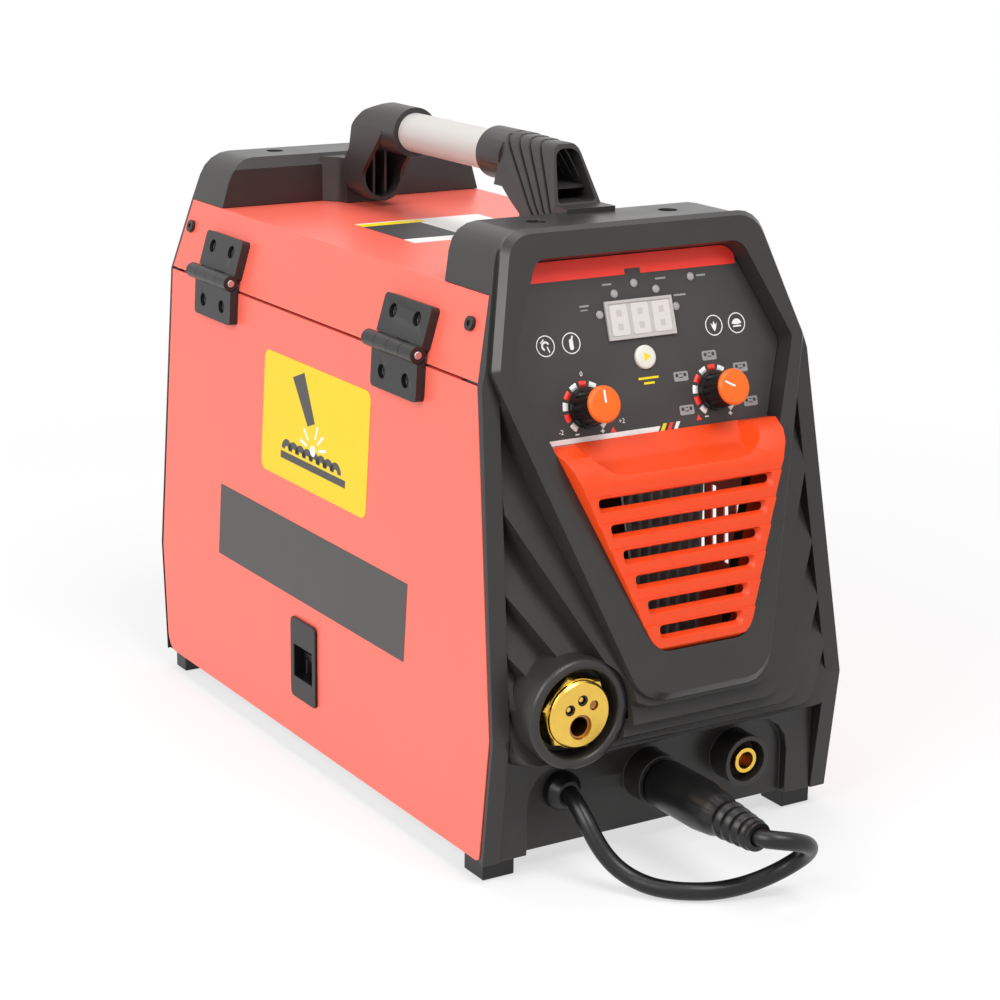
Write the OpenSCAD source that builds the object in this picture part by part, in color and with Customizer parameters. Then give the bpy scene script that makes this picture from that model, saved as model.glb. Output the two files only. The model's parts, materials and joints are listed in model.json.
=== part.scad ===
// Portable wire-feed inverter welder: folded sheet case between two moulded end frames.
// Front faces -Y, up is +Z, the hinged side door is on -X. Millimetres.

/* [Case] */
// Width of the case at the fold of its sides
body_w = 212; // [190:1:240]
// Width of the case where the door is split from the cover
split_w = 194; // [175:1:206]
// Width of the case at the top bend of the cover
shoulder_w = 170; // [150:1:180]
// Height of the lower edge of the sheets
base_z = 12; // [10:0.5:16]
// Height of the fold in the sides
fold_z = 77.5; // [66:0.5:90]
// Height of the split between door and cover
split_z = 245; // [235:0.5:255]
// Height of the top bend
shoulder_z = 285.5; // [280:0.5:292]
// Height of the top of the end frames
frame_z = 313; // [306:0.5:322]
// Thickness of the sheet steel
sheet_t = 1.2; // [0.8:0.1:2]
// Gap round the door
door_gap = 1.4; // [0.6:0.1:1.6]

/* [Ends of the sheets along Y] */
// Front edge of the sheets at the fold
front_fold_y = -178; // [-190:1:-170]
// Front edge of the sheets at the split
front_split_y = -149; // [-156:1:-140]
// Rear edge of the sheets at the fold
rear_fold_y = 200; // [190:1:210]
// How far the rear edge leans in from the fold to the split
rear_lean = 3.5; // [0:0.5:8]
// How far the moulded rims stand ahead of the sheets
rim_lead = 4; // [3:0.5:6]

/* [Moulded frames] */
// Width of the front face of the side rims
rim_face = 9.5; // [7:0.5:12]
// Wall of the mouldings
wall = 4; // [3:0.5:5]
// Clearance between fixed mouldings
seat_gap = 0.2; // [0.1:0.1:0.4]
// Depth of the front hump behind the tilted face
front_hump = 40; // [32:1:48]
// Depth of the rear hump
rear_hump = 44; // [36:1:52]

/* [Tilted face] */
// Lean of the tilted face from the vertical
face_tilt = 18.8; // [14:0.2:24]
// Height of the widest line of the tilted face
face_z = 253.4; // [250:0.2:258]
// Place of that line along Y
face_y = -158.3; // [-162:0.1:-156]
// Depth of the control panel behind the face
panel_recess = 11.5; // [8:0.5:14]
// Thickness of the control panel
panel_t = 3; // [2:0.5:4]
// Half width of the ring's face at its widest line
ring_half_w = 89.8; // [86:0.2:92]
// Width of the ring's face at that line
ring_face = 6.8; // [5:0.2:9]

/* [Controls] */
// Distance of each dial from the middle
dial_x = 38.5; // [34:0.5:42]
// Place of the dials up the tilted face
dial_v = -22; // [-26:0.5:-18]
// Radius of a knob's skirt
knob_r = 10; // [9:0.2:13]
// Height of a knob
knob_h = 18; // [12:0.5:20]
// Radius of a knob's shaft
shaft_r = 3; // [2.5:0.1:4]
// Radial clearance of a running shaft
run_gap = 0.06; // [0.03:0.01:0.1]
// Radius of the round button
button_r = 6; // [4.5:0.5:7]

/* [Louvred grille] */
// Number of slots
slot_count = 6; // [4:1:6]
// Distance between slots
slot_pitch = 12.9; // [11.5:0.1:12.9]
// Height of a slot at its throat
slot_h = 4; // [3:0.2:5]
// Wall of the grille
grille_t = 3; // [2:0.5:4]
// How far the hood stands ahead of the tilted face
hood_bulge = 8; // [5:0.5:11]

/* [Sockets] */
// Place of the torch socket along X
torch_x = -66; // [-67:0.5:-64]
// Height of the torch socket
torch_z = 90; // [88:0.5:92]
// Radius of the torch socket's shroud
shroud_r = 28; // [26:0.5:29]
// Radius of the torch socket's brass body
torch_r = 17.5; // [15:0.5:19]
// Radius of the main hole of the torch socket
torch_bore_r = 6.3; // [5.5:0.1:6.5]
// Height of the current sockets and of the lead's gland
socket_z = 38.5; // [36:0.5:41]
// Place of the left current socket along X
socket_left_x = -6.5; // [-9:0.5:-4]
// Distance between the two current sockets
socket_pitch = 54; // [48:1:58]
// Radius of a current socket's collar
collar_r = 13.5; // [12.5:0.5:15]
// Radius of a current socket's brass contact
contact_r = 6.8; // [6:0.2:7.6]
// Radius of the hole in the contact
contact_bore_r = 4.5; // [4:0.1:5]

/* [Handle] */
// Radius of the handle tube
tube_r = 10.8; // [9:0.2:12]
// Wall of the handle tube
tube_wall = 1.6; // [1:0.2:2.4]
// Height of the tube's axis
tube_z = 332.5; // [329:0.5:338]
// Front end of the bare tube
grip_front_y = -8; // [-14:1:-4]
// Rear end of the bare tube
grip_rear_y = 80; // [74:1:86]
// Width of the front bracket at its foot
bracket_w = 38; // [34:1:42]

/* [Hinges and latch] */
// Place of the front hinge along Y
hinge_front_y = -76; // [-80:1:-60]
// Place of the rear hinge along Y
hinge_rear_y = 133; // [120:1:145]
// Length of a hinge
hinge_len = 50; // [42:2:56]
// Reach of a hinge leaf from the pin
leaf_reach = 25; // [21:0.5:27]
// Thickness of a hinge leaf
leaf_t = 5; // [3:0.2:5.4]
// Radius of the hinge knuckles
knuckle_r = 4.3; // [3.8:0.1:4.5]
// Radius of the hinge pins
pin_r = 2; // [1.6:0.1:2.4]
// Place of the latch along Y
latch_y = 13; // [0:1:40]
// Height of the middle of the latch
latch_z = 59; // [54:0.5:60]
// Length of the latch
latch_h = 46; // [42:1:50]
// Width of the latch
latch_w = 29; // [24:1:32]
// Travel of the latch's slider
latch_travel = 8; // [5:0.5:9]

/* [Wire drive] */
// Radius of the drive roll
roll_r = 15; // [12:0.5:18]
// Radius of the pressure roll
press_r = 11; // [9:0.5:12]
// Place of the rolls along Y
roll_y = -104; // [-108:1:-100]
// Diameter of the wire
wire_d = 0.8; // [0.6:0.1:1.2]
// Radius of the spool hub
hub_r = 25; // [23:0.5:26]
// Place of the spool hub along Y
hub_y = 84; // [78:1:90]
// Height of the spool hub
hub_z = 146; // [140:1:150]

/* [Cooling] */
// Side of the square fan
fan_side = 80; // [70:1:82]
// Depth of the fan
fan_depth = 25; // [20:1:30]
// Number of fan blades
blade_count = 7; // [5:1:9]

/* [Feet and lead] */
// Height of the feet
foot_h = 10.5; // [9:0.5:12]
// Radius of the earthing lead
lead_r = 4.5; // [4:0.1:5]

/* [Hidden] */
$fn = 48;

red = "#e0452f";
plastic = "#3b3836";
dark = "#1d1c1c";
steel = "#8f9294";
brass = "#d9ab33";

half_w = body_w / 2;
half_split = split_w / 2;
half_shoulder = shoulder_w / 2;
// Slope of the shoulder, carried on up to the top of the frames
shoulder_slope = (half_split - half_shoulder) / (shoulder_z - split_z);
half_top = half_shoulder - shoulder_slope * (frame_z - shoulder_z);
front_base_y = front_fold_y + 8;
front_top_y = front_split_y + 10;
rear_base_y = rear_fold_y - 5;
rear_split_y = rear_fold_y - rear_lean;
rear_top_y = rear_split_y - 5;
cover_z = shoulder_z;

// Upright steel wall between the wire drive and the power stage
partition_x = 4;
partition_t = 1.5;

// ---- Outlines ----------------------------------------------------------------------------------

function unit(v) = v / norm(v);
// Points of one corner b, rounded to radius r between its neighbours a and c
function corner(a, b, c, r, n) =
    r <= 0 ? [b] :
    let (u = unit(a - b), v = unit(c - b), half = acos(u * v) / 2,
         m = b + unit(u + v) * (r / sin(half)),
         p = b + u * (r / tan(half)) - m, q = b + v * (r / tan(half)) - m,
         a0 = atan2(p[1], p[0]), turn = atan2(p[0] * q[1] - p[1] * q[0], p * q))
    [for (i = [0:n]) m + r * [cos(a0 + turn * i / n), sin(a0 + turn * i / n)]];
// A polygon with each corner rounded to its own radius
function rounded(pts, radii, n = 4) =
    let (k = len(pts))
    [for (i = [0:k - 1]) each corner(pts[(i + k - 1) % k], pts[i], pts[(i + 1) % k], radii[i], n)];
function mirrored(pts) = concat(pts, [for (i = [len(pts) - 1:-1:0]) [-pts[i][0], pts[i][1]]]);

// Closed solid through outlines of equal length, each given as [height, points]
module loft(sections) {
    n = len(sections[0][1]);
    last = len(sections) - 1;
    pts = [for (s = sections) for (p = s[1]) [p[0], p[1], s[0]]];
    sides = [for (k = [0:last - 1]) for (i = [0:n - 1])
        let (j = (i + 1) % n, a = k * n, b = (k + 1) * n)
        each [[a + i, b + i, b + j], [a + i, b + j, a + j]]];
    polyhedron(points = pts, faces = concat([[for (i = [0:n - 1]) i]], sides,
        [[for (i = [n - 1:-1:0]) last * n + i]]));
}

module along_y(y0, y1) translate([0, y1, 0]) rotate([90, 0, 0]) linear_extrude(y1 - y0) children();
module along_x(x0, x1) translate([x0, 0, 0]) rotate([90, 0, 90]) linear_extrude(x1 - x0) children();
// Local x is X, local y runs up the slope and local z stands out of the tilted face
module on_face(y = face_y, z = face_z, tilt = face_tilt) translate([0, y, z]) rotate([90 - tilt, 0, 0]) children();
module mirror_pair() {
    children();
    mirror([1, 0, 0]) children();
}

// Front view of the case, inset all round, with its bottom at z
function case_outline(inset, z, r) = rounded(mirrored([
    [half_w - inset, z], [half_w - inset, fold_z], [half_split - inset, split_z],
    [half_top - inset, frame_z - inset]]), [0, 0, 0, r, r, 0, 0, 0]);
// Side view of the sheets, drawn in by gap at both ends, as [y, z] points from the bottom up
function front_edge(gap) = [[front_base_y + gap, base_z], [front_fold_y + gap, fold_z],
    [front_split_y + gap, split_z], [front_top_y + gap, shoulder_z]];
function rear_edge(gap) = [[rear_base_y - gap, base_z], [rear_fold_y - gap, fold_z],
    [rear_split_y - gap, split_z], [rear_top_y - gap, shoulder_z]];
function reversed(pts) = [for (i = [len(pts) - 1:-1:0]) pts[i]];

// Outline of the tilted ring, grown by g: local x and the distance up the slope
ring_top_v = 62.9;
ring_bottom_v = -164;
ring_top_x = 72.5;
ring_bottom_x = 35.2;
function ring_outline(g) = rounded(mirrored([
    [ring_bottom_x + 0.75 * g, ring_bottom_v - g], [ring_half_w + g, 0],
    [ring_top_x + 0.8 * g, ring_top_v + g]]), [18, 6, 14, 14, 6, 18]);
open_half_w = ring_half_w - ring_face;
open_top_v = ring_top_v - 12.3;
open_bottom_v = ring_bottom_v + 20;
open_top_x = ring_top_x - 11.5;
open_bottom_x = 28;
function opening_outline(g) = rounded(mirrored([
    [open_bottom_x + 0.6 * g, open_bottom_v - g], [open_half_w + g, 0],
    [open_top_x + 0.8 * g, open_top_v + g]]), [12, 5, 9, 9, 5, 12]);
ring_depth = 6;
ring_chamfer = 3;

// ---- Case --------------------------------------------------------------------------------------

tray_half_w = half_w - sheet_t - 2.5;
tray_front_y = front_base_y + 12;
tray_rear_y = rear_base_y - 10;

module base_tray() color(steel) difference() {
    union() {
        translate([-tray_half_w, tray_front_y, base_z]) cube([2 * tray_half_w, tray_rear_y - tray_front_y, sheet_t]);
        mirror_pair() translate([-tray_half_w, tray_front_y, base_z]) cube([sheet_t, tray_rear_y - tray_front_y, 10]);
        translate([-tray_half_w, tray_rear_y - sheet_t, base_z]) cube([2 * tray_half_w, sheet_t, 10]);
    }
    for (i = [0:5]) translate([30, -90 + 22 * i, base_z - 1]) cube([46, 8, sheet_t + 2]);
}

module centre_partition() color(steel) difference() {
    along_x(partition_x, partition_x + partition_t) polygon([
        [tray_front_y + 2, base_z + sheet_t], [tray_rear_y - 2, base_z + sheet_t],
        [rear_panel_y - 2, base_z + 12], [rear_panel_y - 2, split_z], [rear_panel_y - 6, cover_z - sheet_t],
        [front_top_y + front_hump + 6, cover_z - sheet_t], [front_split_y + 45, split_z],
        [tray_front_y + 2, 60]]);
    translate([partition_x - 1, 20, 40]) cube([partition_t + 2, 40, 14]);
}

module cover_profile(t) {
    foot_x = half_split - door_gap * shoulder_slope;
    outer = [[-foot_x, split_z + door_gap], [-half_shoulder, shoulder_z], [half_shoulder, shoulder_z],
        [half_split, split_z], [half_w, fold_z], [half_w, base_z]];
    inner = [[half_w - t, base_z], [half_w - t, fold_z], [half_split - t, split_z],
        [half_shoulder - t * 0.8, shoulder_z - t], [-half_shoulder + t * 0.8, shoulder_z - t],
        [-foot_x + t, split_z + door_gap]];
    polygon(concat(outer, inner));
}

module louvre(y, z) translate([half_split - sheet_t - 3, y, z]) cube([half_w - half_split + sheet_t + 4, 4, 42]);

module outer_cover() color(red) difference() {
    intersection() {
        along_y(-300, 300) cover_profile(sheet_t);
        along_x(-half_w - 1, half_w + 1) polygon(concat(front_edge(0), [[front_top_y, shoulder_z + 1],
            [rear_top_y, shoulder_z + 1]], reversed(rear_edge(0))));
    }
    // The top sheet stops under the two humps
    translate([-half_shoulder + 1.4, front_top_y - 10, shoulder_z - sheet_t - 1])
        cube([2 * half_shoulder - 2.8, front_hump + 8, sheet_t + 3]);
    translate([-half_shoulder + 1.4, rear_top_y - rear_hump + 6, shoulder_z - sheet_t - 1])
        cube([2 * half_shoulder - 2.8, rear_hump + 8, sheet_t + 3]);
    for (i = [0:6]) {
        louvre(-120 + 11 * i, 110);
        louvre(80 + 11 * i, 110);
    }
}

module side_door() color(red) difference() {
    union() {
        intersection() {
            along_y(-300, 300) polygon([[-half_w, base_z], [-half_w, fold_z], [-half_split, split_z],
                [-half_split + sheet_t, split_z], [-half_w + sheet_t, fold_z], [-half_w + sheet_t, base_z]]);
            door_side_view(0);
        }
        // Stiffening flange along the top
        along_y(front_split_y + 18, rear_split_y - 12) polygon([[-half_split + 0.6, split_z],
            [-half_split + 9, split_z], [-half_split + 9, split_z - sheet_t], [-half_split + 0.6, split_z - sheet_t]]);
    }
    translate([0, latch_y, latch_z]) along_x(-half_w - 1, -half_w + sheet_t + 1) polygon(latch_outline(1));
}
module door_side_view(gap) along_x(-half_w - 1, -half_split + 20) polygon(rounded(
    concat([for (i = [0:2]) front_edge(gap)[i]], reversed([for (i = [0:2]) rear_edge(gap)[i]])),
    [4, 0, 0, 0, 0, 10]));

// ---- Front -------------------------------------------------------------------------------------

face_slope = tan(face_tilt);
// Where the back of the tilted ring lies at height z
function face_back_y(z) = face_y + face_slope * (z - face_z) + ring_depth / cos(face_tilt);
hump_top_y = face_back_y(frame_z) + front_hump;
frame_foot_z = base_z - 1;

function rim_front() = [[front_base_y - rim_lead, frame_foot_z], [front_fold_y - rim_lead, fold_z],
    [face_back_y(face_z), face_z], [face_back_y(frame_z + 1), frame_z + 1]];

// Front view of the room between the rims
function frame_inner(gap) = rounded(mirrored([
    [half_w - rim_face - gap, -1], [half_w - rim_face - gap, fold_z],
    [half_split - rim_face - gap, split_z - 4], [half_split - rim_face + 3 - gap, face_z],
    [half_top - wall - gap, frame_z - wall - gap]]), [0, 0, 0, 0, 14, 14, 0, 0, 0, 0]);

// The same room, kept below the top sheet
lip_gap = 0.3;
module room_below_top() intersection() {
    polygon(frame_inner(0));
    translate([-half_w, -2]) square([body_w, cover_z - sheet_t - lip_gap + 2]);
}

module front_frame() color(plastic) difference() {
    union() {
        // Rims and hump as seen from outside
        intersection() {
            along_y(-200, -40) polygon(case_outline(0, frame_foot_z, 18));
            along_x(-half_w - 1, half_w + 1) polygon(concat(rim_front(), [[hump_top_y, frame_z + 1],
                [hump_top_y, frame_z - 4], [hump_top_y - 6, shoulder_z + lip_gap], [front_top_y - seat_gap, shoulder_z + lip_gap],
                [front_split_y - seat_gap, split_z], [front_fold_y - door_gap, fold_z], [front_base_y - door_gap, frame_foot_z]]));
        }
        // Lip tucked behind the sheets
        intersection() {
            along_y(-200, -40) polygon(case_outline(sheet_t + 0.6, frame_foot_z, 17));
            along_x(-half_w - 1, half_w + 1) polygon(concat([for (p = rim_front()) p + [1, 0]],
                [[front_top_y + 12, shoulder_z - sheet_t - lip_gap], [front_split_y + 12, split_z],
                [front_fold_y + 12, fold_z], [front_base_y + 12, frame_foot_z]]));
        }
    }
    along_y(-201, -39) room_below_top();
    intersection() {
        along_y(-201, hump_top_y - wall - 3) polygon(frame_inner(0));
        translate([-half_w, -201, shoulder_z - 3]) cube([body_w, 300, 60]);
    }
    mirror_pair() translate([hump_screw_x, front_screw_y, frame_z - 3]) cylinder(r = screw_well_r, h = 10);
    mirror_pair() translate([hump_screw_x, front_screw_y, frame_z - wall - 6]) cylinder(r = 2.2, h = 20);
}
hump_screw_x = 39.5;
front_screw_y = -108;
rear_screw_y = 176;
screw_well_r = 5;

// One stepped layer: bottom edge at y, z; leaning by tilt; half width hb at the bottom,
// opening out by spread as it rises
module step_layer(y, z, tilt, hb, spread, r) on_face(y, z, tilt) translate([0, 0, -26])
    linear_extrude(26) polygon(rounded(mirrored([[hb, 0], [hb + 190 * spread, 190]]), [r, 0, 0, r]));
module step_hollow(y, z, tilt, hb, spread, r) on_face(y, z, tilt) translate([0, 0, -80])
    linear_extrude(80 - wall) polygon(rounded(mirrored([[hb - wall, wall], [hb - wall + 200 * spread, 200 + wall]]),
        [r - wall, 0, 0, r - wall]));

// Bottom y, bottom z, lean, half width, spread and corner radius of each layer, front to back
step_layers = [
    [-207, 91.4, 24.2, 40, 0.49, 18],
    [-203.9, 82.1, 27.5, 49, 0.6, 19],
    [-199.9, 75.2, 29.8, 62, 0.66, 18],
    [-195.5, 69.8, 31.5, 76, 0.7, 15],
    [-190.8, 65.4, 32.5, 90, 0.7, 12]
];

module front_bezel() color(plastic) difference() {
    union() {
        on_face() {
            loft([[-ring_depth, ring_outline(ring_chamfer)], [-ring_depth + 2.5, ring_outline(ring_chamfer)],
                [0, ring_outline(0)]]);
            translate([0, 0, -panel_recess - panel_t]) linear_extrude(panel_recess + panel_t - ring_depth)
                polygon(opening_outline(3));
        }
        intersection() {
            union() {
                on_face() difference() {
                    translate([0, 0, -26]) linear_extrude(26 - ring_depth) polygon(ring_outline(ring_chamfer));
                    translate([-110, 0, -27]) cube([220, 80, 30]);
                }
                difference() {
                    for (s = step_layers) step_layer(s[0], s[1], s[2], s[3], s[4], s[5]);
                    for (s = step_layers) step_hollow(s[0], s[1], s[2], s[3], s[4], s[5]);
                }
            }
            along_y(-230, -60) polygon(frame_inner(seat_gap));
            translate([-half_w, -230, shelf_z + seat_gap]) cube([body_w, 150, face_z - shelf_z]);
            on_face() translate([-120, -240, -52]) cube([240, 340, 60]);
            difference() {
                translate([-half_w, -230, 0]) cube([body_w, 170, frame_z]);
                translate([torch_x, -231, torch_z]) rotate([-90, 0, 0]) cylinder(r = shroud_r - 0.5, h = 231 + torch_face_y + 12);
            }
        }
        translate([torch_x, torch_face_y, torch_z]) rotate([-90, 0, 0]) rotate_extrude()
            polygon(rounded([[torch_r + 0.1, 14], [shroud_r - 5.6, 14], [shroud_r - 5.6, 0], [shroud_r, 0],
                [shroud_r, 48], [torch_r + 0.1, 48]], [0, 0, 2.4, 2.6, 0, 0]));
    }
    on_face() translate([0, 0, -90]) linear_extrude(100) polygon(opening_outline(0));
    translate([torch_x, torch_face_y - 1, torch_z]) rotate([-90, 0, 0]) cylinder(r = shroud_r - 5.6, h = 15);
    translate([torch_x, torch_face_y - 1, torch_z]) rotate([-90, 0, 0]) cylinder(r = torch_r + 0.1, h = 90);
}
torch_face_y = -197;
shelf_z = 64;
leg_y = -173;
recess_y = -168;
panel_back_y = -162;
arch_half_w = 80;
arch_z = 56;

module at_sockets() for (i = [0, 1]) translate([socket_left_x + i * socket_pitch, 0, socket_z])
    rotate([-90, 0, 0]) children();
collar_front_y = -182;

module socket_panel() color(dark) difference() {
    union() {
        difference() {
            translate([-half_w + rim_face + seat_gap, leg_y, base_z - 1])
                cube([body_w - 2 * rim_face - 2 * seat_gap, panel_back_y - leg_y, shelf_z - base_z + 1]);
            along_y(leg_y - 1, recess_y) polygon(rounded([[-arch_half_w, 0], [arch_half_w, 0],
                [arch_half_w, arch_z], [-arch_half_w, arch_z]], [0, 0, 20, 20]));
        }
        at_sockets() translate([0, 0, collar_front_y]) cylinder(r = collar_r, h = recess_y - collar_front_y + 1);
    }
    at_sockets() {
        translate([0, 0, collar_front_y - 1]) cylinder(r = collar_r - 2.6, h = 11);
        translate([0, 0, collar_front_y - 1]) cylinder(r = contact_r, h = 40);
    }
    translate([torch_x, torch_face_y, torch_z]) rotate([-90, 0, 0]) cylinder(r = shroud_r + seat_gap, h = 60);
    translate([gland_x, leg_y - 1, gland_z]) rotate([-90, 0, 0]) cylinder(r = 7, h = 20);
}
gland_x = -58;
gland_z = 40;

module control_panel() color(plastic) on_face() difference() {
    translate([0, 0, -panel_recess - panel_t]) linear_extrude(panel_t) intersection() {
        polygon(opening_outline(-seat_gap));
        translate([-100, panel_foot_v]) square([200, 120]);
    }
    for (side = [-1, 1]) translate([side * dial_x, dial_v, -panel_recess - panel_t - 1])
        cylinder(r = shaft_r + run_gap, h = panel_t + 2);
    translate([0, button_v, -panel_recess - panel_t - 1]) cylinder(r = button_r + 0.3, h = panel_t + 2);
}
panel_foot_v = -41.5;
button_v = -1;

module display_window() color("#c9c4be") on_face() translate([-19.5, 8.6, -panel_recess]) difference() {
    cube([40, 19.4, 1.6]);
    translate([1.6, 1.6, 1]) cube([36.8, 16.2, 1]);
}

lens_places = [[-22.5, 22], [-12.2, 31.5], [0.2, 35.8], [12.7, 31.7], [23, 22.1], [34.5, 36.1]];
module status_lenses() color("#cfcac4") on_face() for (p = lens_places) translate([p[0], p[1], -panel_recess]) {
    cylinder(r = 2.1, h = 0.5);
    translate([0, 0, 0.5]) cylinder(r1 = 2.1, r2 = 1.2, h = 0.7, $fn = 24);
}

// Potentiometer bodies behind the panel, with the shafts' bushes
module control_pots() color(steel) on_face() for (side = [-1, 1])
    translate([side * dial_x, dial_v, -panel_recess - panel_t - 9]) difference() {
        union() {
            cylinder(r = 8.5, h = 9);
            translate([-6, -14, 0]) cube([12, 10, 2.5]);
        }
        translate([0, 0, 3]) cylinder(r = shaft_r + run_gap, h = 9);
    }

module knob(side) on_face() translate([side * dial_x, dial_v, -panel_recess]) {
    // Shaft, skirt and finger grips
    translate([0, 0, -panel_t - 5]) cylinder(r = shaft_r, h = panel_t + 6);
    difference() {
        union() {
            translate([0, 0, 0.6]) cylinder(r = knob_r, h = 2.6);
            translate([0, 0, 3.2]) cylinder(r1 = knob_r - 0.8, r2 = knob_r - 1.4, h = knob_h - 6.2, $fn = 48);
        }
        for (a = [0:24:359]) rotate([0, 0, a]) translate([knob_r - 0.7, 0, 3.4]) cylinder(r = 0.9, h = knob_h, $fn = 16);
    }
}
module knob_cap(side) on_face() translate([side * dial_x, dial_v, -panel_recess + knob_h - 3]) {
    cylinder(r = knob_r - 0.9, h = 1.8);
    translate([0, 0, 1.8]) cylinder(r1 = knob_r - 0.9, r2 = knob_r - 2.1, h = 1.2, $fn = 48);
}
module left_knob() color(dark) knob(-1);
module left_knob_cap() color("#e8582a") knob_cap(-1);
module right_knob() color(dark) knob(1);
module right_knob_cap() color("#e8582a") knob_cap(1);

module mode_button() color("#efe9dd") on_face() translate([0, button_v, -panel_recess - panel_t + 0.4]) {
    cylinder(r = button_r, h = panel_t + 0.6);
    translate([0, 0, panel_t + 0.6]) cylinder(r1 = button_r, r2 = button_r - 1, h = 0.7, $fn = 40);
}

// ---- Grille ------------------------------------------------------------------------------------

grille_top_v = panel_foot_v + 3.5;
grille_foot_v = open_bottom_v;
first_slot_v = -69;
tier_top_v = first_slot_v + 3;
function tier_off(v) = (hood_bulge - 1) * (v - grille_foot_v) / (tier_top_v - grille_foot_v);
// Side view of the grille's front, as [distance up the slope, distance out of the face]
function grille_front() = concat(
    [[grille_foot_v, -2.5], [grille_foot_v + 2, 0]],
    [for (i = [slot_count - 1:-1:0]) let (v = tier_top_v - slot_pitch * i)
        each [[v - 0.2, tier_off(v) + 0.5], [v, tier_off(v) - 0.4]]],
    [[tier_top_v + 5, hood_bulge], [tier_top_v + 14, hood_bulge - 0.8], [tier_top_v + 20, hood_bulge - 4],
     [grille_top_v - 1.2, -4], [grille_top_v, -panel_recess - panel_t]]);

module grille_block(shift, grow) intersection() {
    along_local_x() polygon(concat([for (p = grille_front()) p - [0, shift]], [[grille_top_v - grow, -40],
        [grille_foot_v + grow, -40]]));
    translate([0, 0, -panel_recess - panel_t - 0.0 - grow]) linear_extrude(60) polygon(opening_outline(-seat_gap - grow));
}
module along_local_x() rotate([90, 0, 90]) translate([0, 0, -100]) linear_extrude(200) children();
function slot_half(i) = 50 - 5.4 * i;
function stadium(hw, v0, v1, r) = rounded([[-hw, v0], [hw, v0], [hw, v1], [-hw, v1]], [r, r, r, r], 3);

module grille() color("#e5482c") on_face() difference() {
    grille_block(0, 0);
    translate([-100, panel_foot_v - seat_gap, -40]) cube([200, 30, 40 - panel_recess]);
    difference() {
        grille_block(grille_t, grille_t);
        translate([-100, grille_foot_v - 10, -40]) cube([200, 12.5, 60]);
    }
    for (i = [0:slot_count - 1]) let (v = first_slot_v - slot_pitch * i, hw = slot_half(i)) translate([0, v, 0])
        loft([[-30, stadium(hw, -slot_h / 2, slot_h / 2, 1.8)], [tier_off(v) - grille_t, stadium(hw, -slot_h / 2, slot_h / 2, 1.8)],
            [tier_off(v) + 1.2, stadium(hw + 2.5, -slot_h / 2 - 4, slot_h / 2 + 0.6, 2.2)],
            [tier_off(v) + 12, stadium(hw + 2.5, -slot_h / 2 - 4, slot_h / 2 + 0.6, 2.2)]]);
}

// ---- Sockets -----------------------------------------------------------------------------------

module at_torch(y) translate([torch_x, y, torch_z]) rotate([-90, 0, 0]) children();
// Small passages of the torch socket: x, height above the axis, radius
torch_pins = [[-6.1, 3.4, 2.8], [1, 7.2, 2.8], [7.5, 3.7, 2.5]];
nut_t = 8;
torch_bore_drop = 6.2;
torch_len = 52;

module torch_socket() color(brass) at_torch(torch_face_y) difference() {
    union() {
        cylinder(r1 = torch_r - 1.6, r2 = torch_r - 0.4, h = 1.2, $fn = 60);
        translate([0, 0, 1.2]) cylinder(r = torch_r - 0.4, h = 2);
        // Six-sided nut behind the round face
        translate([0, 0, 2.8]) rotate([0, 0, 12]) cylinder(r1 = torch_r + 1.2, r2 = torch_r + 2.4, h = 1.2, $fn = 6);
        translate([0, 0, 4]) rotate([0, 0, 12]) cylinder(r = torch_r + 2.4, h = nut_t - 1, $fn = 6);
        translate([0, 0, 3]) cylinder(r = torch_r, h = torch_len - 3);
    }
    translate([0, torch_bore_drop, -1]) cylinder(r = torch_bore_r, h = torch_len + 2);
    for (p = torch_pins) translate([p[0], -p[1], -1]) cylinder(r = p[2], h = 14, $fn = 24);
}

module torch_insulator() color(dark) at_torch(torch_face_y + 14) difference() {
    translate([0, 0, -2]) cylinder(r = shroud_r - 5.8, h = 2);
    translate([0, 0, -3]) cylinder(r = torch_r, h = 5);
}

module socket_contacts() color(brass) at_sockets() difference() {
    translate([0, 0, collar_front_y + 1]) cylinder(r = contact_r, h = 26);
    translate([0, 0, collar_front_y]) cylinder(r = contact_bore_r, h = 22);
}

module cable_gland() color(dark) translate([gland_x, 0, gland_z]) rotate([-90, 0, 0]) rotate_extrude()
    polygon(rounded([[lead_r, recess_y - 9], [lead_r + 2, recess_y - 9], [10, recess_y - 4], [10, recess_y],
        [7, recess_y], [7, panel_back_y + 1], [lead_r, panel_back_y + 1]], [0, 1.2, 2, 0, 0, 0, 0]));

// ---- Rear --------------------------------------------------------------------------------------

rear_panel_y = rear_base_y - 8;
rear_lip = door_gap + 0.6;
rear_hump_front_y = rear_top_y - rear_hump + 5;
pillar_front_y = rear_hump_front_y - 14.5;
function rim_rear() = [[rear_base_y + rear_lip, frame_foot_z], [rear_fold_y + rear_lip, fold_z],
    [rear_split_y + rear_lip, split_z], [rear_top_y + rear_lip, shoulder_z], [rear_top_y - 3, frame_z + 1]];

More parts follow.
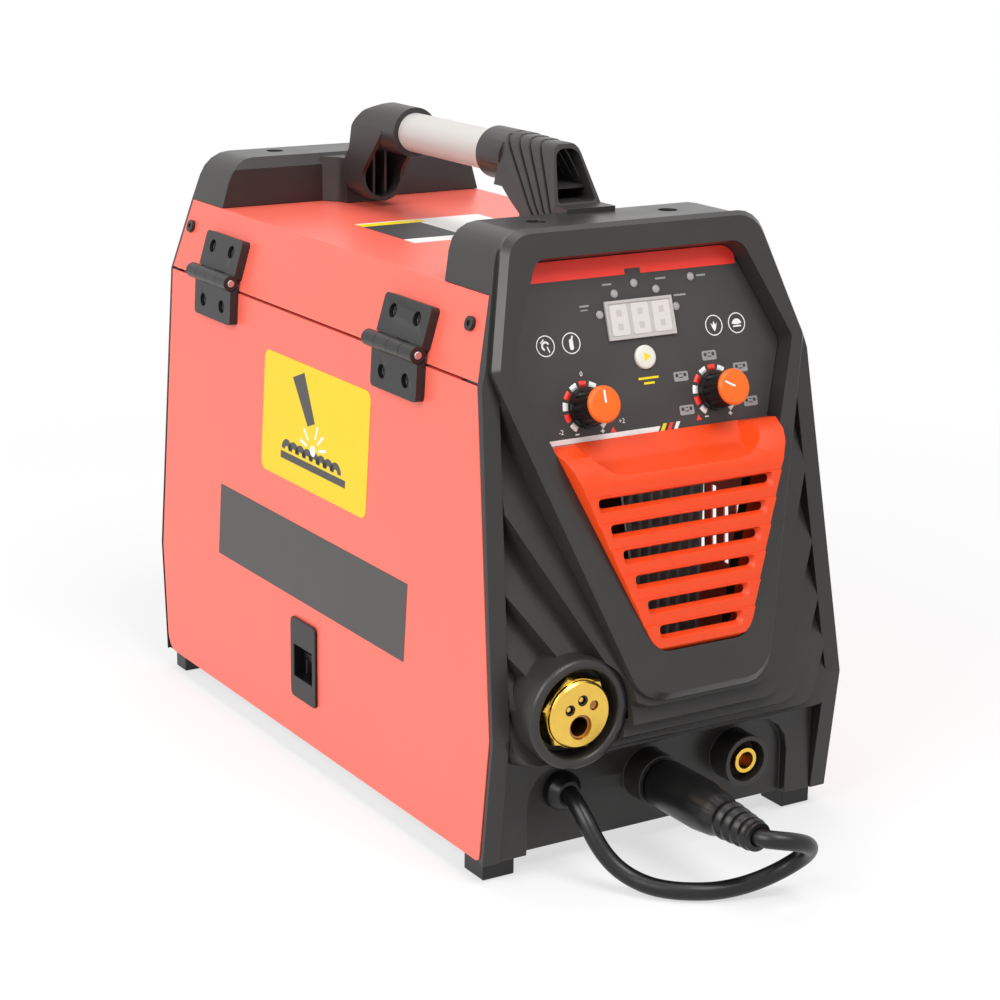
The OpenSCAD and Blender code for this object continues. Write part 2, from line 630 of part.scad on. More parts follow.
module rear_frame() color(plastic) difference() {
    union() {
        intersection() {
            along_y(100, 230) polygon(case_outline(0, frame_foot_z, 18));
            along_x(-half_w - 1, half_w + 1) polygon(concat(rim_rear(), [[rear_hump_front_y + 5, frame_z + 1],
                [rear_hump_front_y, frame_z - 6], [rear_hump_front_y, shoulder_z + lip_gap], [rear_top_y + seat_gap, shoulder_z + lip_gap],
                [rear_split_y + seat_gap, split_z], [rear_fold_y + door_gap, fold_z], [rear_base_y + door_gap, frame_foot_z]]));
        }
        intersection() {
            along_y(100, 230) polygon(case_outline(sheet_t + 0.6, frame_foot_z, 17));
            along_x(-half_w - 1, half_w + 1) polygon(concat([for (p = rim_rear()) p - [seat_gap, 0]],
                [[rear_top_y - 6, shoulder_z - sheet_t - lip_gap], [rear_split_y - 6, split_z],
                [rear_fold_y - 6, fold_z], [rear_base_y - 6, frame_foot_z]]));
        }
        // Neck that carries the handle's rear bracket, flared where it joins the hump
        translate([0, 0, shoulder_z + lip_gap]) linear_extrude(frame_z - shoulder_z - 1.8) polygon(rounded(mirrored([
            [neck_half_w, pillar_front_y], [neck_half_w + 0.6, pillar_front_y + 6],
            [neck_half_w + 9, rear_hump_front_y + 1]]), [0, 9, 0, 0, 9, 0]));
    }
    along_y(99, 231) room_below_top();
    intersection() {
        along_y(rear_hump_front_y + wall, 231) polygon(frame_inner(0));
        translate([-half_w, 100, shoulder_z - 3]) cube([body_w, 140, 60]);
    }
    mirror_pair() translate([hump_screw_x, rear_screw_y, frame_z - 3]) cylinder(r = screw_well_r, h = 10);
    mirror_pair() translate([hump_screw_x, rear_screw_y, frame_z - wall - 6]) cylinder(r = 2.2, h = 20);
}

neck_half_w = 12.5;
fan_x = 47;
fan_z = 128;
module rear_panel() color(dark) difference() {
    along_y(rear_panel_y, rear_panel_y + 3) polygon(concat([for (p = frame_inner(seat_gap))
        [p[0], max(p[1], base_z + sheet_t + 0.1)]]));
    translate([fan_x, 0, fan_z]) rotate([-90, 0, 0]) cylinder(r = fan_side / 2 - 4, h = 300);
    for (sx = [-1, 1]) for (sz = [-1, 1]) translate([fan_x + sx * fan_hole, 0, fan_z + sz * fan_hole])
        rotate([-90, 0, 0]) cylinder(r = 2.2, h = 300, $fn = 24);
    translate([switch_x - 13.2, 0, switch_z - 10.7]) cube([26.4, 300, 21.4]);
    translate([gas_x, 0, gas_z]) rotate([-90, 0, 0]) cylinder(r = 5.1, h = 300);
    translate([mains_x, 0, mains_z]) rotate([-90, 0, 0]) cylinder(r = 10.1, h = 300);
    for (i = [0:5]) translate([-78 + 12 * i, 0, 150]) cube([5, 300, 60]);
}
fan_hole = fan_side / 2 - 5;
switch_x = 50;
switch_z = 212;
gas_x = -40;
gas_z = 45;
mains_x = 50;
mains_z = 45;

module fan_frame() color(dark) translate([fan_x, rear_panel_y - fan_depth, fan_z]) rotate([-90, 0, 0]) difference() {
    translate([-fan_side / 2, -fan_side / 2, 0]) cube([fan_side, fan_side, fan_depth]);
    difference() {
        translate([0, 0, -1]) cylinder(r = fan_side / 2 - 3, h = fan_depth + 2);
        cylinder(r = 18, h = 3);
        for (a = [45:90:359]) rotate([0, 0, a]) translate([0, -2.5, 0]) cube([fan_side / 2, 5, 3]);
    }
    for (sx = [-1, 1]) for (sy = [-1, 1]) translate([sx * fan_hole, sy * fan_hole, -1]) cylinder(r = 2.2, h = fan_depth + 2, $fn = 24);
    translate([0, 0, 1]) cylinder(r = 2 + run_gap, h = 5);
}

module fan_rotor() color("#2b2b2b") translate([fan_x, rear_panel_y - fan_depth, fan_z]) rotate([-90, 0, 0]) difference() {
    union() {
        translate([0, 0, 1.4]) cylinder(r = 2, h = 5);
        translate([0, 0, 3.6]) cylinder(r = 17, h = fan_depth - 6.6);
        intersection() {
            for (i = [0:blade_count - 1]) rotate([0, 0, 360 / blade_count * i]) translate([15, 0, fan_depth / 2])
                rotate([42, 0, 0]) translate([0, -14, -0.9]) cube([fan_side / 2, 28, 1.8]);
            translate([0, 0, 4.4]) cylinder(r = fan_side / 2 - 4.4, h = fan_depth - 8);
        }
    }
    translate([0, 0, fan_depth - 5]) cylinder(r = 14, h = 5);
}

module fan_guard() color(steel) translate([fan_x, rear_panel_y + 3, fan_z]) rotate([-90, 0, 0]) {
    for (r = [10, 18, 26, 34]) translate([0, 0, 1.4]) rotate_extrude() translate([r, 0]) circle(r = 1.1, $fn = 16);
    for (a = [45:90:359]) rotate([0, 0, a]) translate([8, -1.2, 2.2]) cube([fan_hole * sqrt(2) - 9, 2.4, 1.6]);
    for (a = [45:90:359]) rotate([0, 0, a]) translate([fan_hole * sqrt(2), 0, 0]) difference() {
        cylinder(r = 4, h = 3.8);
        translate([0, 0, -1]) cylinder(r = 2.2, h = 6, $fn = 24);
    }
}

module switch_housing() color(dark) translate([switch_x, rear_panel_y, switch_z]) difference() {
    union() {
        translate([-15.5, 3, -13]) cube([31, 2, 26]);
        translate([-13, -22, -10.5]) cube([26, 25, 21]);
    }
    translate([-10.3, -10, -9]) cube([20.6, 20, 18]);
    rotate([0, 90, 0]) translate([0, -1, -12]) cylinder(r = 1.5 + run_gap, h = 24);
}
// Rocker pivots on a cross pin, with one half pressed in
module power_rocker() color("#c8322a") translate([switch_x, rear_panel_y - 1, switch_z]) {
    rotate([0, 90, 0]) translate([0, 0, -11.5]) cylinder(r = 1.5, h = 23);
    along_x(-9.9, 9.9) polygon([[-3, -6], [5, -7.6], [8.2, -7.2], [4.6, 0], [6.6, 7.6], [3.4, 7.8], [-3, 6]]);
}

module gas_inlet() color(brass) translate([gas_x, 0, gas_z]) rotate([-90, 0, 0]) difference() {
    union() {
        translate([0, 0, rear_panel_y - 8]) cylinder(r = 5, h = 11);
        translate([0, 0, rear_panel_y + 3]) cylinder(r = 8.5, h = 5, $fn = 6);
        translate([0, 0, rear_panel_y + 8]) cylinder(r = 4, h = gas_len - 8);
        for (z = [13, 17]) translate([0, 0, rear_panel_y + z]) cylinder(r1 = 4.9, r2 = 4, h = 3, $fn = 32);
    }
    translate([0, 0, rear_panel_y - 9]) cylinder(r = 2.5, h = 60);
}
gas_len = 24;

module mains_gland() color(dark) translate([mains_x, 0, mains_z]) rotate([-90, 0, 0]) difference() {
    union() {
        translate([0, 0, rear_panel_y - 7]) cylinder(r = 10, h = 10);
        translate([0, 0, rear_panel_y + 3]) cylinder(r = 14, h = 6, $fn = 6);
        translate([0, 0, rear_panel_y + 9]) cylinder(r1 = 12, r2 = 9, h = 9, $fn = 32);
    }
    translate([0, 0, rear_panel_y - 8]) cylinder(r = 5.2, h = 60);
}

// ---- Handle ------------------------------------------------------------------------------------

tube_front_y = grip_front_y - 14;
tube_rear_y = grip_rear_y + 14;
module handle_tube() color("#b9b6b1") translate([0, tube_front_y, tube_z]) rotate([-90, 0, 0]) difference() {
    cylinder(r = tube_r, h = tube_rear_y - tube_front_y);
    translate([0, 0, -1]) cylinder(r = tube_r - tube_wall, h = tube_rear_y - tube_front_y + 2);
}
socket_r = tube_r + 3;
bracket_top_z = tube_z + socket_r;
module at_tube(y) translate([0, y, tube_z]) rotate([-90, 0, 0]) children();

// Section of the front bracket as [x, z], drawn in by inset
function arch(inset) = let (foot = bracket_w / 2 - inset, crown = socket_r - 4 - inset,
        top = bracket_top_z - inset / 2)
    rounded([[-foot, shoulder_z], [foot, shoulder_z], [foot - 1.7, frame_z], [crown, top],
        [-crown, top], [-foot + 1.7, frame_z]], [0, 0, 0, 9 - inset, 9 - inset, 0]);

// Leaning fins of the front bracket, each a step narrower than the one behind it
fin_count = 4;
fin_top_y = grip_front_y - 21;
fin_foot_y = grip_front_y - 61;
fin_foot_z = frame_z - 4;
fin_pitch = 9.5;
fin_foot_pitch = 5;
fin_groove = 1.6;
fin_step = 0.7;
bracket_front_y = hump_top_y - 40;
function fin_line(i, z) = let (top = fin_top_y - fin_pitch * i, foot = fin_foot_y - fin_foot_pitch * i)
    foot + (top - foot) * (z - fin_foot_z) / (bracket_top_z - fin_foot_z);
function fin_side(i) = let (low = shoulder_z - 1, high = bracket_top_z + 2) [
    [i == 0 ? grip_front_y : fin_line(i - 1, low) - fin_groove, low],
    [i == 0 ? grip_front_y : fin_line(i - 1, high) - fin_groove, high],
    [i == fin_count ? bracket_front_y : fin_line(i, high), high],
    [i == fin_count ? bracket_front_y : fin_line(i, low), low]];

module handle_front_bracket() color(plastic) difference() {
    union() {
        at_tube(grip_front_y - 23) cylinder(r = socket_r, h = 23);
        intersection() {
            union() {
                along_y(hump_top_y - 20, grip_front_y) polygon(arch(fin_step * fin_count + 1.8));
                for (i = [0:fin_count]) intersection() {
                    along_y(hump_top_y - 20, grip_front_y) polygon(arch(fin_step * i));
                    along_x(-bracket_w, bracket_w) polygon(fin_side(i));
                }
            }
            along_x(-bracket_w, bracket_w) polygon([[grip_front_y - 22, bracket_top_z + 1],
                [grip_front_y - 22, tube_z - socket_r + 0.5], [grip_front_y - 30, tube_z - socket_r + 0.5],
                [grip_front_y - 50, frame_z - 5], [grip_front_y - 53, shoulder_z], [hump_top_y + 0.3, shoulder_z],
                [hump_top_y + 0.3, frame_z], [hump_top_y + 5.5, frame_z],
                [grip_front_y - 65, bracket_top_z - 2], [grip_front_y - 52, bracket_top_z + 1]]);
        }
        // Foot on the hump
        translate([-bracket_w / 2 + 4.5, hump_top_y - 6, frame_z]) cube([bracket_w - 9, 13, 2.4]);
    }
    at_tube(tube_front_y) cylinder(r = tube_r, h = 60);
    // Window that looks forward, with a rib across it
    difference() {
        along_y(hump_top_y - 20, grip_front_y - 44) polygon(rounded([[-11.4, frame_z + 3.2], [11.4, frame_z + 3.2],
            [6.4, bracket_top_z - 4.2], [-6.4, bracket_top_z - 4.2]], [1.5, 1.5, 5.5, 5.5]));
        translate([-12, hump_top_y + 16, frame_z + 9]) cube([24, 40, 1.4]);
    }
}

// Rear bracket: a round-bottomed leg that meets the neck of the rear frame
leg_r = 14;
leg_wall = 2.6;
leg_foot_z = shoulder_z + 3.5;
rear_leg_y = grip_rear_y + 37;
module leg_section(r) {
    translate([0, leg_foot_z + leg_r]) circle(r = r);
    translate([-r, leg_foot_z + leg_r]) square([2 * r, tube_z - leg_foot_z - leg_r]);
}

module handle_rear_bracket() color(plastic) difference() {
    union() {
        at_tube(grip_rear_y) cylinder(r = socket_r, h = 24);
        intersection() {
            along_y(grip_rear_y + 9, pillar_front_y) union() {
                leg_section(leg_r);
                translate([0, tube_z]) circle(r = socket_r);
            }
            along_x(-bracket_w, bracket_w) polygon(rounded([[grip_rear_y + 14, bracket_top_z + 1],
                [grip_rear_y + 26, bracket_top_z + 0.5], [grip_rear_y + 40, tube_z + 9], [grip_rear_y + 49, tube_z],
                [grip_rear_y + 52, frame_z + 6], [pillar_front_y, frame_z - 1.5], [pillar_front_y, shoulder_z],
                [rear_leg_y, shoulder_z], [rear_leg_y, frame_z - 7], [grip_rear_y + 14, tube_z - 1.5]],
                [0, 8, 10, 8, 4, 0, 0, 0, 8, 0]));
        }
    }
    at_tube(grip_rear_y - 1) cylinder(r = tube_r, h = tube_rear_y - grip_rear_y + 1);
    // Hollow of the leg, open to the front, with two ribs
    difference() {
        along_y(grip_rear_y, pillar_front_y - 4) leg_section(leg_r - leg_wall);
        at_tube(grip_rear_y - 1) cylinder(r = socket_r, h = 90);
        for (x = [-4.5, 3]) translate([x, rear_leg_y + 4, shoulder_z]) cube([1.5, 40, 60]);
    }
}

module pan_screw(r) {
    cylinder(r = r, h = 1.6);
    translate([0, 0, -8]) cylinder(r = 2, h = 8.2, $fn = 24);
}
module frame_screws() color(dark) mirror_pair() for (y = [front_screw_y, rear_screw_y])
    translate([hump_screw_x, y, frame_z - 3]) pan_screw(screw_well_r - 0.6);

shoulder_lean = atan(shoulder_slope);
module cover_screws() color(dark) for (y = [-131, 184]) mirror_pair()
    translate([half_split - (271 - split_z) * shoulder_slope, y, 271]) rotate([0, 90 - shoulder_lean, 0]) difference() {
        cylinder(r = 3.6, h = 2.2);
        translate([0, 0, 1]) cylinder(r = 1.6, h = 3, $fn = 6);
    }

// ---- Hinges and door hardware --------------------------------------------------------------------

// Height of the hinge axis above the split between cover and door
hinge_lift = 6;
hinge_x = -half_split - knuckle_r - 0.3;
hinge_z = split_z + hinge_lift;
knuckle_len = hinge_len / 4;
door_lean = atan((half_w - half_split) / (split_z - fold_z));
hinge_places = [hinge_front_y, hinge_rear_y];
leaf_gap = 0.6;
leaf_end = 4;
well_r = 3.7;

// Leaf lying on a sheet that leans by the given angle, from low to high along the sheet, with two screw wells
module leaf_plate(lean, low, high, well_v) translate([-half_split, 0, split_z]) rotate([0, lean - 90, 0])
    difference() {
        linear_extrude(leaf_t) polygon(rounded([[low, -hinge_len / 2], [high, -hinge_len / 2],
            [high, hinge_len / 2 - leaf_end], [low, hinge_len / 2 - leaf_end]], [2.5, 2.5, 2.5, 2.5]));
        for (side = [-1, 1]) translate([well_v, side * hinge_len / 4.2 - leaf_end / 2, 1.2])
            cylinder(r = well_r, h = leaf_t);
    }
module knuckle_at(i) translate([hinge_x, -hinge_len / 2 + i * knuckle_len, hinge_z]) rotate([-90, 0, 0]) children();

// Leaf with its own knuckles and room for those of the other leaf
module hinge_leaf(own, other, hole_r) difference() {
    union() {
        children();
        for (i = own) knuckle_at(i) translate([0, 0, 0.15]) cylinder(r = knuckle_r, h = knuckle_len - 0.3);
    }
    for (i = other) knuckle_at(i) translate([0, 0, -0.15]) cylinder(r = knuckle_r + 0.4, h = knuckle_len + 0.3);
    translate([hinge_x, -hinge_len, hinge_z]) rotate([-90, 0, 0]) cylinder(r = hole_r, h = 2 * hinge_len);
}
module hinge_upper_leaves() color(dark) for (y = hinge_places) translate([0, y, 0]) hinge_leaf([0, 2], [1, 3], pin_r)
    leaf_plate(shoulder_lean, hinge_lift + leaf_gap, hinge_lift + leaf_reach - 2, hinge_lift + 0.6 * leaf_reach);
module hinge_lower_leaves() color(dark) for (y = hinge_places) translate([0, y, 0])
    hinge_leaf([1, 3], [0, 2], pin_r + run_gap)
    leaf_plate(door_lean, hinge_lift - leaf_reach + 1, hinge_lift - leaf_gap, hinge_lift - 0.6 * leaf_reach);
module hinge_pins() color(steel) for (y = hinge_places) translate([hinge_x, y - hinge_len / 2 - 0.6, hinge_z])
    rotate([-90, 0, 0]) cylinder(r = pin_r, h = hinge_len + 1.2);

latch_proud = 1.6;
function latch_outline(inset) = let (w = latch_w / 2 - inset, h = latch_h / 2 - inset)
    rounded([[-w, -h], [w, -h], [w, h], [-w, h]], [3, 3, 3, 3]);
module latch_housing() color(dark) translate([-half_w, latch_y, latch_z]) difference() {
    union() {
        along_x(-latch_proud, 0) polygon(latch_outline(0));
        along_x(-0.5, 9) polygon(latch_outline(1));
    }
    // Window of the catch and the room it slides in
    translate([-latch_proud - 1, -latch_w / 2 + 4, -10.7]) cube([latch_proud + 7, latch_w - 8, 18.2]);
    translate([3, -latch_w / 2 + 6, -4]) cube([4, latch_w - 12, 16.5]);
    // Channel in which the slider runs, open at its foot
    translate([6, -latch_w / 2 + 5, -latch_h / 2 - 5]) cube([2.4, latch_w - 10, latch_h + 1]);
}
module latch_slider() color(steel) translate([-half_w, latch_y, latch_z]) {
    translate([6.2, -latch_w / 2 + 5.3, -latch_h / 2 - 12]) cube([2, latch_w - 10.6, latch_h + 1 - latch_travel]);
    translate([3.3, -latch_w / 2 + 7, -1]) cube([2.9, latch_w - 14, 4]);
}

// ---- Wire drive ----------------------------------------------------------------------------------

// The wire runs on the axis of the torch socket's main hole
wire_z = torch_z - torch_bore_drop;
motor_y = roll_y;
motor_z = wire_z - wire_d / 2 - roll_r;
motor_r = 24;
plate_x = -50;
plate_t = 5;
module feed_plate() color(steel) difference() {
    union() {
        along_x(plate_x, plate_x + plate_t) polygon(rounded([[roll_y - 38, 44], [roll_y + 42, 44],
            [roll_y + 42, 106], [roll_y + 10, 106], [roll_y - 4, 120], [roll_y - 38, 120]], [4, 4, 4, 4, 4, 4]));
        // Standoffs to the partition
        for (p = [[-30, 50], [-30, 113], [30, 50], [30, 98]]) translate([plate_x + plate_t, roll_y + p[0], p[1]]) rotate([0, 90, 0])
            cylinder(r = 4, h = partition_x - plate_x - plate_t);
        // Bearing pin of the pressure arm
        translate([plate_x - 22, arm_y, arm_z]) rotate([0, 90, 0]) cylinder(r = 4, h = 22);
    }
    translate([plate_x - 1, motor_y, motor_z]) rotate([0, 90, 0]) cylinder(r = 5, h = plate_t + 2);
}
arm_y = roll_y - 30;
arm_z = wire_z + 24;

module feed_motor() color("#55585c") translate([plate_x + plate_t, motor_y, motor_z]) rotate([0, 90, 0]) {
    cylinder(r = motor_r, h = 34);
    translate([0, 0, 34]) cylinder(r = motor_r - 5, h = 12);
    translate([0, 0, -plate_t]) difference() {
        cylinder(r = 5, h = plate_t);
        translate([0, 0, -1]) cylinder(r = 3 + run_gap, h = plate_t + 3);
    }
}

module drive_roll() color(steel) translate([torch_x, roll_y, motor_z]) rotate([0, 90, 0]) {
    rotate_extrude() polygon([[0, -6], [roll_r, -6], [roll_r, -1], [roll_r - 0.6, 0], [roll_r, 1], [roll_r, 6], [0, 6]]);
    translate([0, 0, 6]) cylinder(r = 3, h = plate_x - torch_x - 6 + plate_t - 0.5);
    translate([0, 0, -10]) cylinder(r = 7, h = 4);
    for (a = [0:45:359]) rotate([0, 0, a]) translate([7, 0, -9]) cylinder(r = 1, h = 2.5, $fn = 12);
}

press_y = roll_y;
press_z = wire_z + wire_d / 2 + press_r;
module pressure_arm() color(plastic) difference() {
    union() {
        along_x(plate_x - 9, plate_x - 1) polygon(rounded([[arm_y - 8, arm_z - 7], [arm_y + 8, arm_z - 7], [press_y - 6, press_z - 6],
            [press_y + 8, press_z - 6], [press_y + 30, arm_z - 4], [press_y + 30, arm_z + 6], [arm_y - 8, arm_z + 8]], [5, 3, 4, 4, 3, 3, 6]));
        translate([torch_x - 5, press_y, press_z]) rotate([0, 90, 0]) cylinder(r = 3, h = plate_x - torch_x);
    }
    translate([plate_x - 30, arm_y, arm_z]) rotate([0, 90, 0]) cylinder(r = 4 + run_gap, h = 40);
    translate([plate_x - 5, press_y + 23, arm_z - 20]) cylinder(r = 2.5 + run_gap, h = 50);
}
module pressure_roll() color(steel) translate([torch_x, press_y, press_z]) rotate([0, 90, 0]) difference() {
    rotate_extrude() polygon([[1, -4], [press_r, -4], [press_r, 4], [1, 4]]);
    translate([0, 0, -6]) cylinder(r = 3 + run_gap, h = 12);
}
module tension_knob() color("#c8322a") translate([plate_x - 5, press_y + 23, arm_z]) {
    translate([0, 0, -16]) cylinder(r = 2.5, h = 24);
    translate([0, 0, 7]) difference() {
        cylinder(r = 7, h = 15.3);
        for (a = [0:45:359]) rotate([0, 0, a]) translate([7.6, 0, -1]) cylinder(r = 1.6, h = 18, $fn = 16);
    }
}

module inlet_guide() color(steel) translate([torch_x, 0, wire_z]) rotate([-90, 0, 0]) difference() {
    union() {
        translate([0, 0, roll_y + 18]) cylinder(r = 3, h = 30);
        translate([0, 0, roll_y + 26]) cylinder(r = 5, h = 10);
        translate([0, -4, roll_y + 27]) cube([plate_x - torch_x, 8, 8]);
    }
    translate([0, 0, roll_y]) cylinder(r = 1.2, h = 80, $fn = 24);
}
// Room left between the outlet's tip and the middle of the rolls
outlet_gap = 9.5;
module wire_outlet() color(brass) translate([torch_x, torch_face_y + torch_len, wire_z]) rotate([-90, 0, 0]) difference() {
    union() {
        cylinder(r = 9, h = 6);
        cylinder(r = 2.6, h = roll_y - outlet_gap - torch_face_y - torch_len);
    }
    translate([0, 0, -1]) cylinder(r = 1.2, h = 60, $fn = 24);
}

module spool_axle() color(steel) translate([0, hub_y, hub_z]) rotate([0, 90, 0]) {
    translate([0, 0, -78]) cylinder(r = 8, h = partition_x + 78);
    translate([0, 0, partition_x - 4]) cylinder(r = 22, h = 4);
}
module spool_hub() color(dark) translate([0, hub_y, hub_z]) rotate([0, 90, 0]) difference() {
    union() {
        translate([0, 0, -70]) cylinder(r = hub_r, h = 62);
        translate([0, 0, -11]) cylinder(r = hub_r + 10, h = 5);
        translate([hub_r + 5, 0, -15]) cylinder(r = 3, h = 5);
    }
    translate([0, 0, -71]) cylinder(r = 8 + run_gap, h = 80);
    for (a = [0:60:359]) rotate([0, 0, a]) translate([16.5, 0, -71]) cylinder(r = 5, h = 52);
}
module hub_nut() color("#c8322a") translate([0, hub_y, hub_z]) rotate([0, 90, 0]) difference() {
    translate([0, 0, -82]) cylinder(r = 20, h = 11.6);
    for (a = [0:45:359]) rotate([0, 0, a]) translate([21.5, 0, -83]) cylinder(r = 4, h = 14, $fn = 24);
    translate([0, 0, -78.2]) cylinder(r = 8.06, h = 10);
}

// ---- Power stage -----------------------------------------------------------------------------------

inner_x = partition_x + partition_t;
module inverter_board() color("#2f5a3c") {
    translate([inner_x + 6, -98, 24]) cube([1.6, 208, 190]);
    for (y = [-90, 100]) for (z = [34, 204]) translate([inner_x, y, z]) rotate([0, 90, 0]) cylinder(r = 3, h = 6);
    for (i = [0:2]) translate([inner_x + 7.6, 34, 170 - 34 * i]) rotate([0, 90, 0]) cylinder(r = 14, h = 45);
}
module heat_sink() color("#b9bcc0") {
    translate([inner_x + 7.6, -96, 60]) cube([5, 110, 140]);
    translate([inner_x + 7.6, -96, 60]) cube([64, 110, 4]);
    for (i = [0:8]) translate([inner_x + 17 + 6.6 * i, -96, 62]) cube([2.4, 110, 136]);
}
module output_choke() color("#a0642c") translate([inner_x + 48, 78, base_z + sheet_t]) {
    difference() { cylinder(r = 27, h = 34); translate([0, 0, -1]) cylinder(r = 12, h = 36); }
}
module gas_valve() color(steel) translate([gas_x, rear_panel_y - 8, gas_z]) {
    translate([-11, -30, -13]) cube([22, 30, 26]);
    translate([11, -24, -9]) cube([18, 18, 18]);
    translate([0, -15, base_z + sheet_t - gas_z]) cylinder(r = 5, h = gas_z - base_z - sheet_t - 13);
}

foot_x = 92.5;
foot_w = 18;
// Middle and length of each row's foot, start and length of its plug
foot_rows = [[-158, 18, -157, 9], [187.5, 13, 181.6, 3.2]];
module rubber_feet() color(dark) mirror_pair() for (row = foot_rows) {
    translate([foot_x - foot_w / 2, row[0] - row[1] / 2, 0]) cube([foot_w, row[1], foot_h]);
    translate([foot_x - 6, row[2], foot_h]) cube([9, row[3], base_z - foot_h]);
}

// ---- Lead ------------------------------------------------------------------------------------------

plug_y = -262;
module lead_plug() color(dark) translate([socket_left_x, plug_y, socket_z]) rotate([-90, 0, 0]) difference() {
    rotate_extrude() polygon(concat([[0, 0], [7.4, 0]],
        [for (i = [0:3]) each [[7.6 + 0.55 * i, 3 + 6 * i], [8.2 + 0.55 * i, 4 + 6 * i], [8.2 + 0.55 * i, 6 + 6 * i], [7.2 + 0.6 * i, 7 + 6 * i]]],
        [[11.2, 32], [12.6, 44], [12.6, 76], [10.6, 79], [10.6, 80.8], [contact_bore_r - 0.1, 80.8],
            [contact_bore_r - 0.1, 96], [0, 96]]));
    translate([0, 0, -1]) cylinder(r = lead_r, h = 9);
}

lead_route = [
    [-58, -172, 40], [-58, -179, 39.5], [-58.5, -186, 36.5], [-58, -192.5, 31], [-56.5, -198, 24], [-54, -203, 17.5],
    [-50.5, -208.5, 12], [-46, -215, 8], [-40.5, -222.5, 5.6], [-33.5, -230, 4.7], [-25, -236.5, 4.6], [-15.5, -241.5, 4.8],
    [-5.5, -245, 5.8], [4.5, -248, 8], [13.5, -251.5, 11.8], [20, -256, 17], [22.6, -261.5, 23], [20.5, -267, 29],
    [14.5, -270.8, 33.8], [6.5, -271.6, 37], [-1, -268.8, 38.4], [-5.4, -264, 38.5], [-6.5, -257, 38.5]
];
function catmull(a, b, c, d, t) = 0.5 * (2 * b + (c - a) * t + (2 * a - 5 * b + 4 * c - d) * t * t
    + (3 * b - a - 3 * c + d) * t * t * t);
function spline(p, per) = let (n = len(p)) concat([for (i = [0:n - 2]) for (k = [0:per - 1])
    catmull(p[max(i - 1, 0)], p[i], p[i + 1], p[min(i + 2, n - 1)], k / per)], [p[n - 1]]);
// Tube of round section swept along a path, its ends square to it
module swept(path, r, sides) {
    n = len(path);
    dirs = [for (i = [0:n - 1]) unit(path[min(i + 1, n - 1)] - path[max(i - 1, 0)])];
    rings = [for (i = [0:n - 1]) let (u = unit(cross(dirs[i], [0.1, 0.05, 1])), v = cross(dirs[i], u))
        [for (k = [0:sides - 1]) path[i] + r * (cos(360 * k / sides) * u + sin(360 * k / sides) * v)]];
    pts = [for (ring = rings) for (p = ring) p];
    polyhedron(points = pts, faces = concat([[for (k = [0:sides - 1]) k]],
        [for (i = [0:n - 2]) for (k = [0:sides - 1]) let (j = (k + 1) % sides, a = i * sides, b = (i + 1) * sides)
            each [[a + k, b + k, b + j], [a + k, b + j, a + j]]],
        [[for (k = [sides - 1:-1:0]) (n - 1) * sides + k]]));
}
module polarity_lead() color(dark) swept(spline(lead_route, 2), lead_r - 0.05, 10);

base_tray();
centre_partition();
outer_cover();
front_frame();
front_bezel();
socket_panel();
control_panel();
display_window();
status_lenses();
control_pots();
grille();
torch_socket();
torch_insulator();
socket_contacts();
cable_gland();
rear_frame();
rear_panel();
fan_frame();
fan_guard();
switch_housing();
gas_inlet();
mains_gland();
handle_front_bracket();
handle_rear_bracket();
handle_tube();
frame_screws();
cover_screws();
hinge_upper_leaves();
hinge_pins();
rubber_feet();
feed_plate();
feed_motor();
inlet_guide();
wire_outlet();
spool_axle();
inverter_board();
heat_sink();
output_choke();
gas_valve();
side_door();
hinge_lower_leaves();
latch_housing();
latch_slider();
left_knob();
left_knob_cap();
right_knob();
right_knob_cap();
mode_button();
power_rocker();
fan_rotor();
drive_roll();
pressure_arm();
pressure_roll();
tension_knob();
spool_hub();
hub_nut();
polarity_lead();
lead_plug();
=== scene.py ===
import json
import math

import bmesh
import bpy
from mathutils import Matrix, Vector


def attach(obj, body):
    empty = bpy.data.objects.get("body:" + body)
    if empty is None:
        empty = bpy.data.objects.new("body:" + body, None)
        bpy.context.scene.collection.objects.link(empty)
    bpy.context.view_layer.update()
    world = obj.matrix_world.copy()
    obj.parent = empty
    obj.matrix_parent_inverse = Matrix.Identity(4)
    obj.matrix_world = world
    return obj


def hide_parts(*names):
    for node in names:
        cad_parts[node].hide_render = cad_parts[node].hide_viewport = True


mm = 0.001
scene = bpy.context.scene
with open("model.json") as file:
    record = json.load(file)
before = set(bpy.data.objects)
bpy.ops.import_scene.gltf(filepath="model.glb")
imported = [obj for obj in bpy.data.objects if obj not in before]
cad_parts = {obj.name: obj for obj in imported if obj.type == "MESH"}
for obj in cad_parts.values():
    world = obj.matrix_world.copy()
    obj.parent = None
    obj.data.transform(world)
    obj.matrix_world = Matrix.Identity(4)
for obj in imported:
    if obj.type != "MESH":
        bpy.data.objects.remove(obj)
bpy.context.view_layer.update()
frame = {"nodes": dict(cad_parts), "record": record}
nodes = frame["nodes"]

# Camera: what it looks at in mm, angles in degrees, lens in mm
camera = {"target": (4.482, -7.676, 140.358), "azimuth": -31.87, "elevation": 15.838, "roll": 0.782,
          "distance": 1338.8, "lens": 87.45, "sensor": 36, "clipStart": 50}


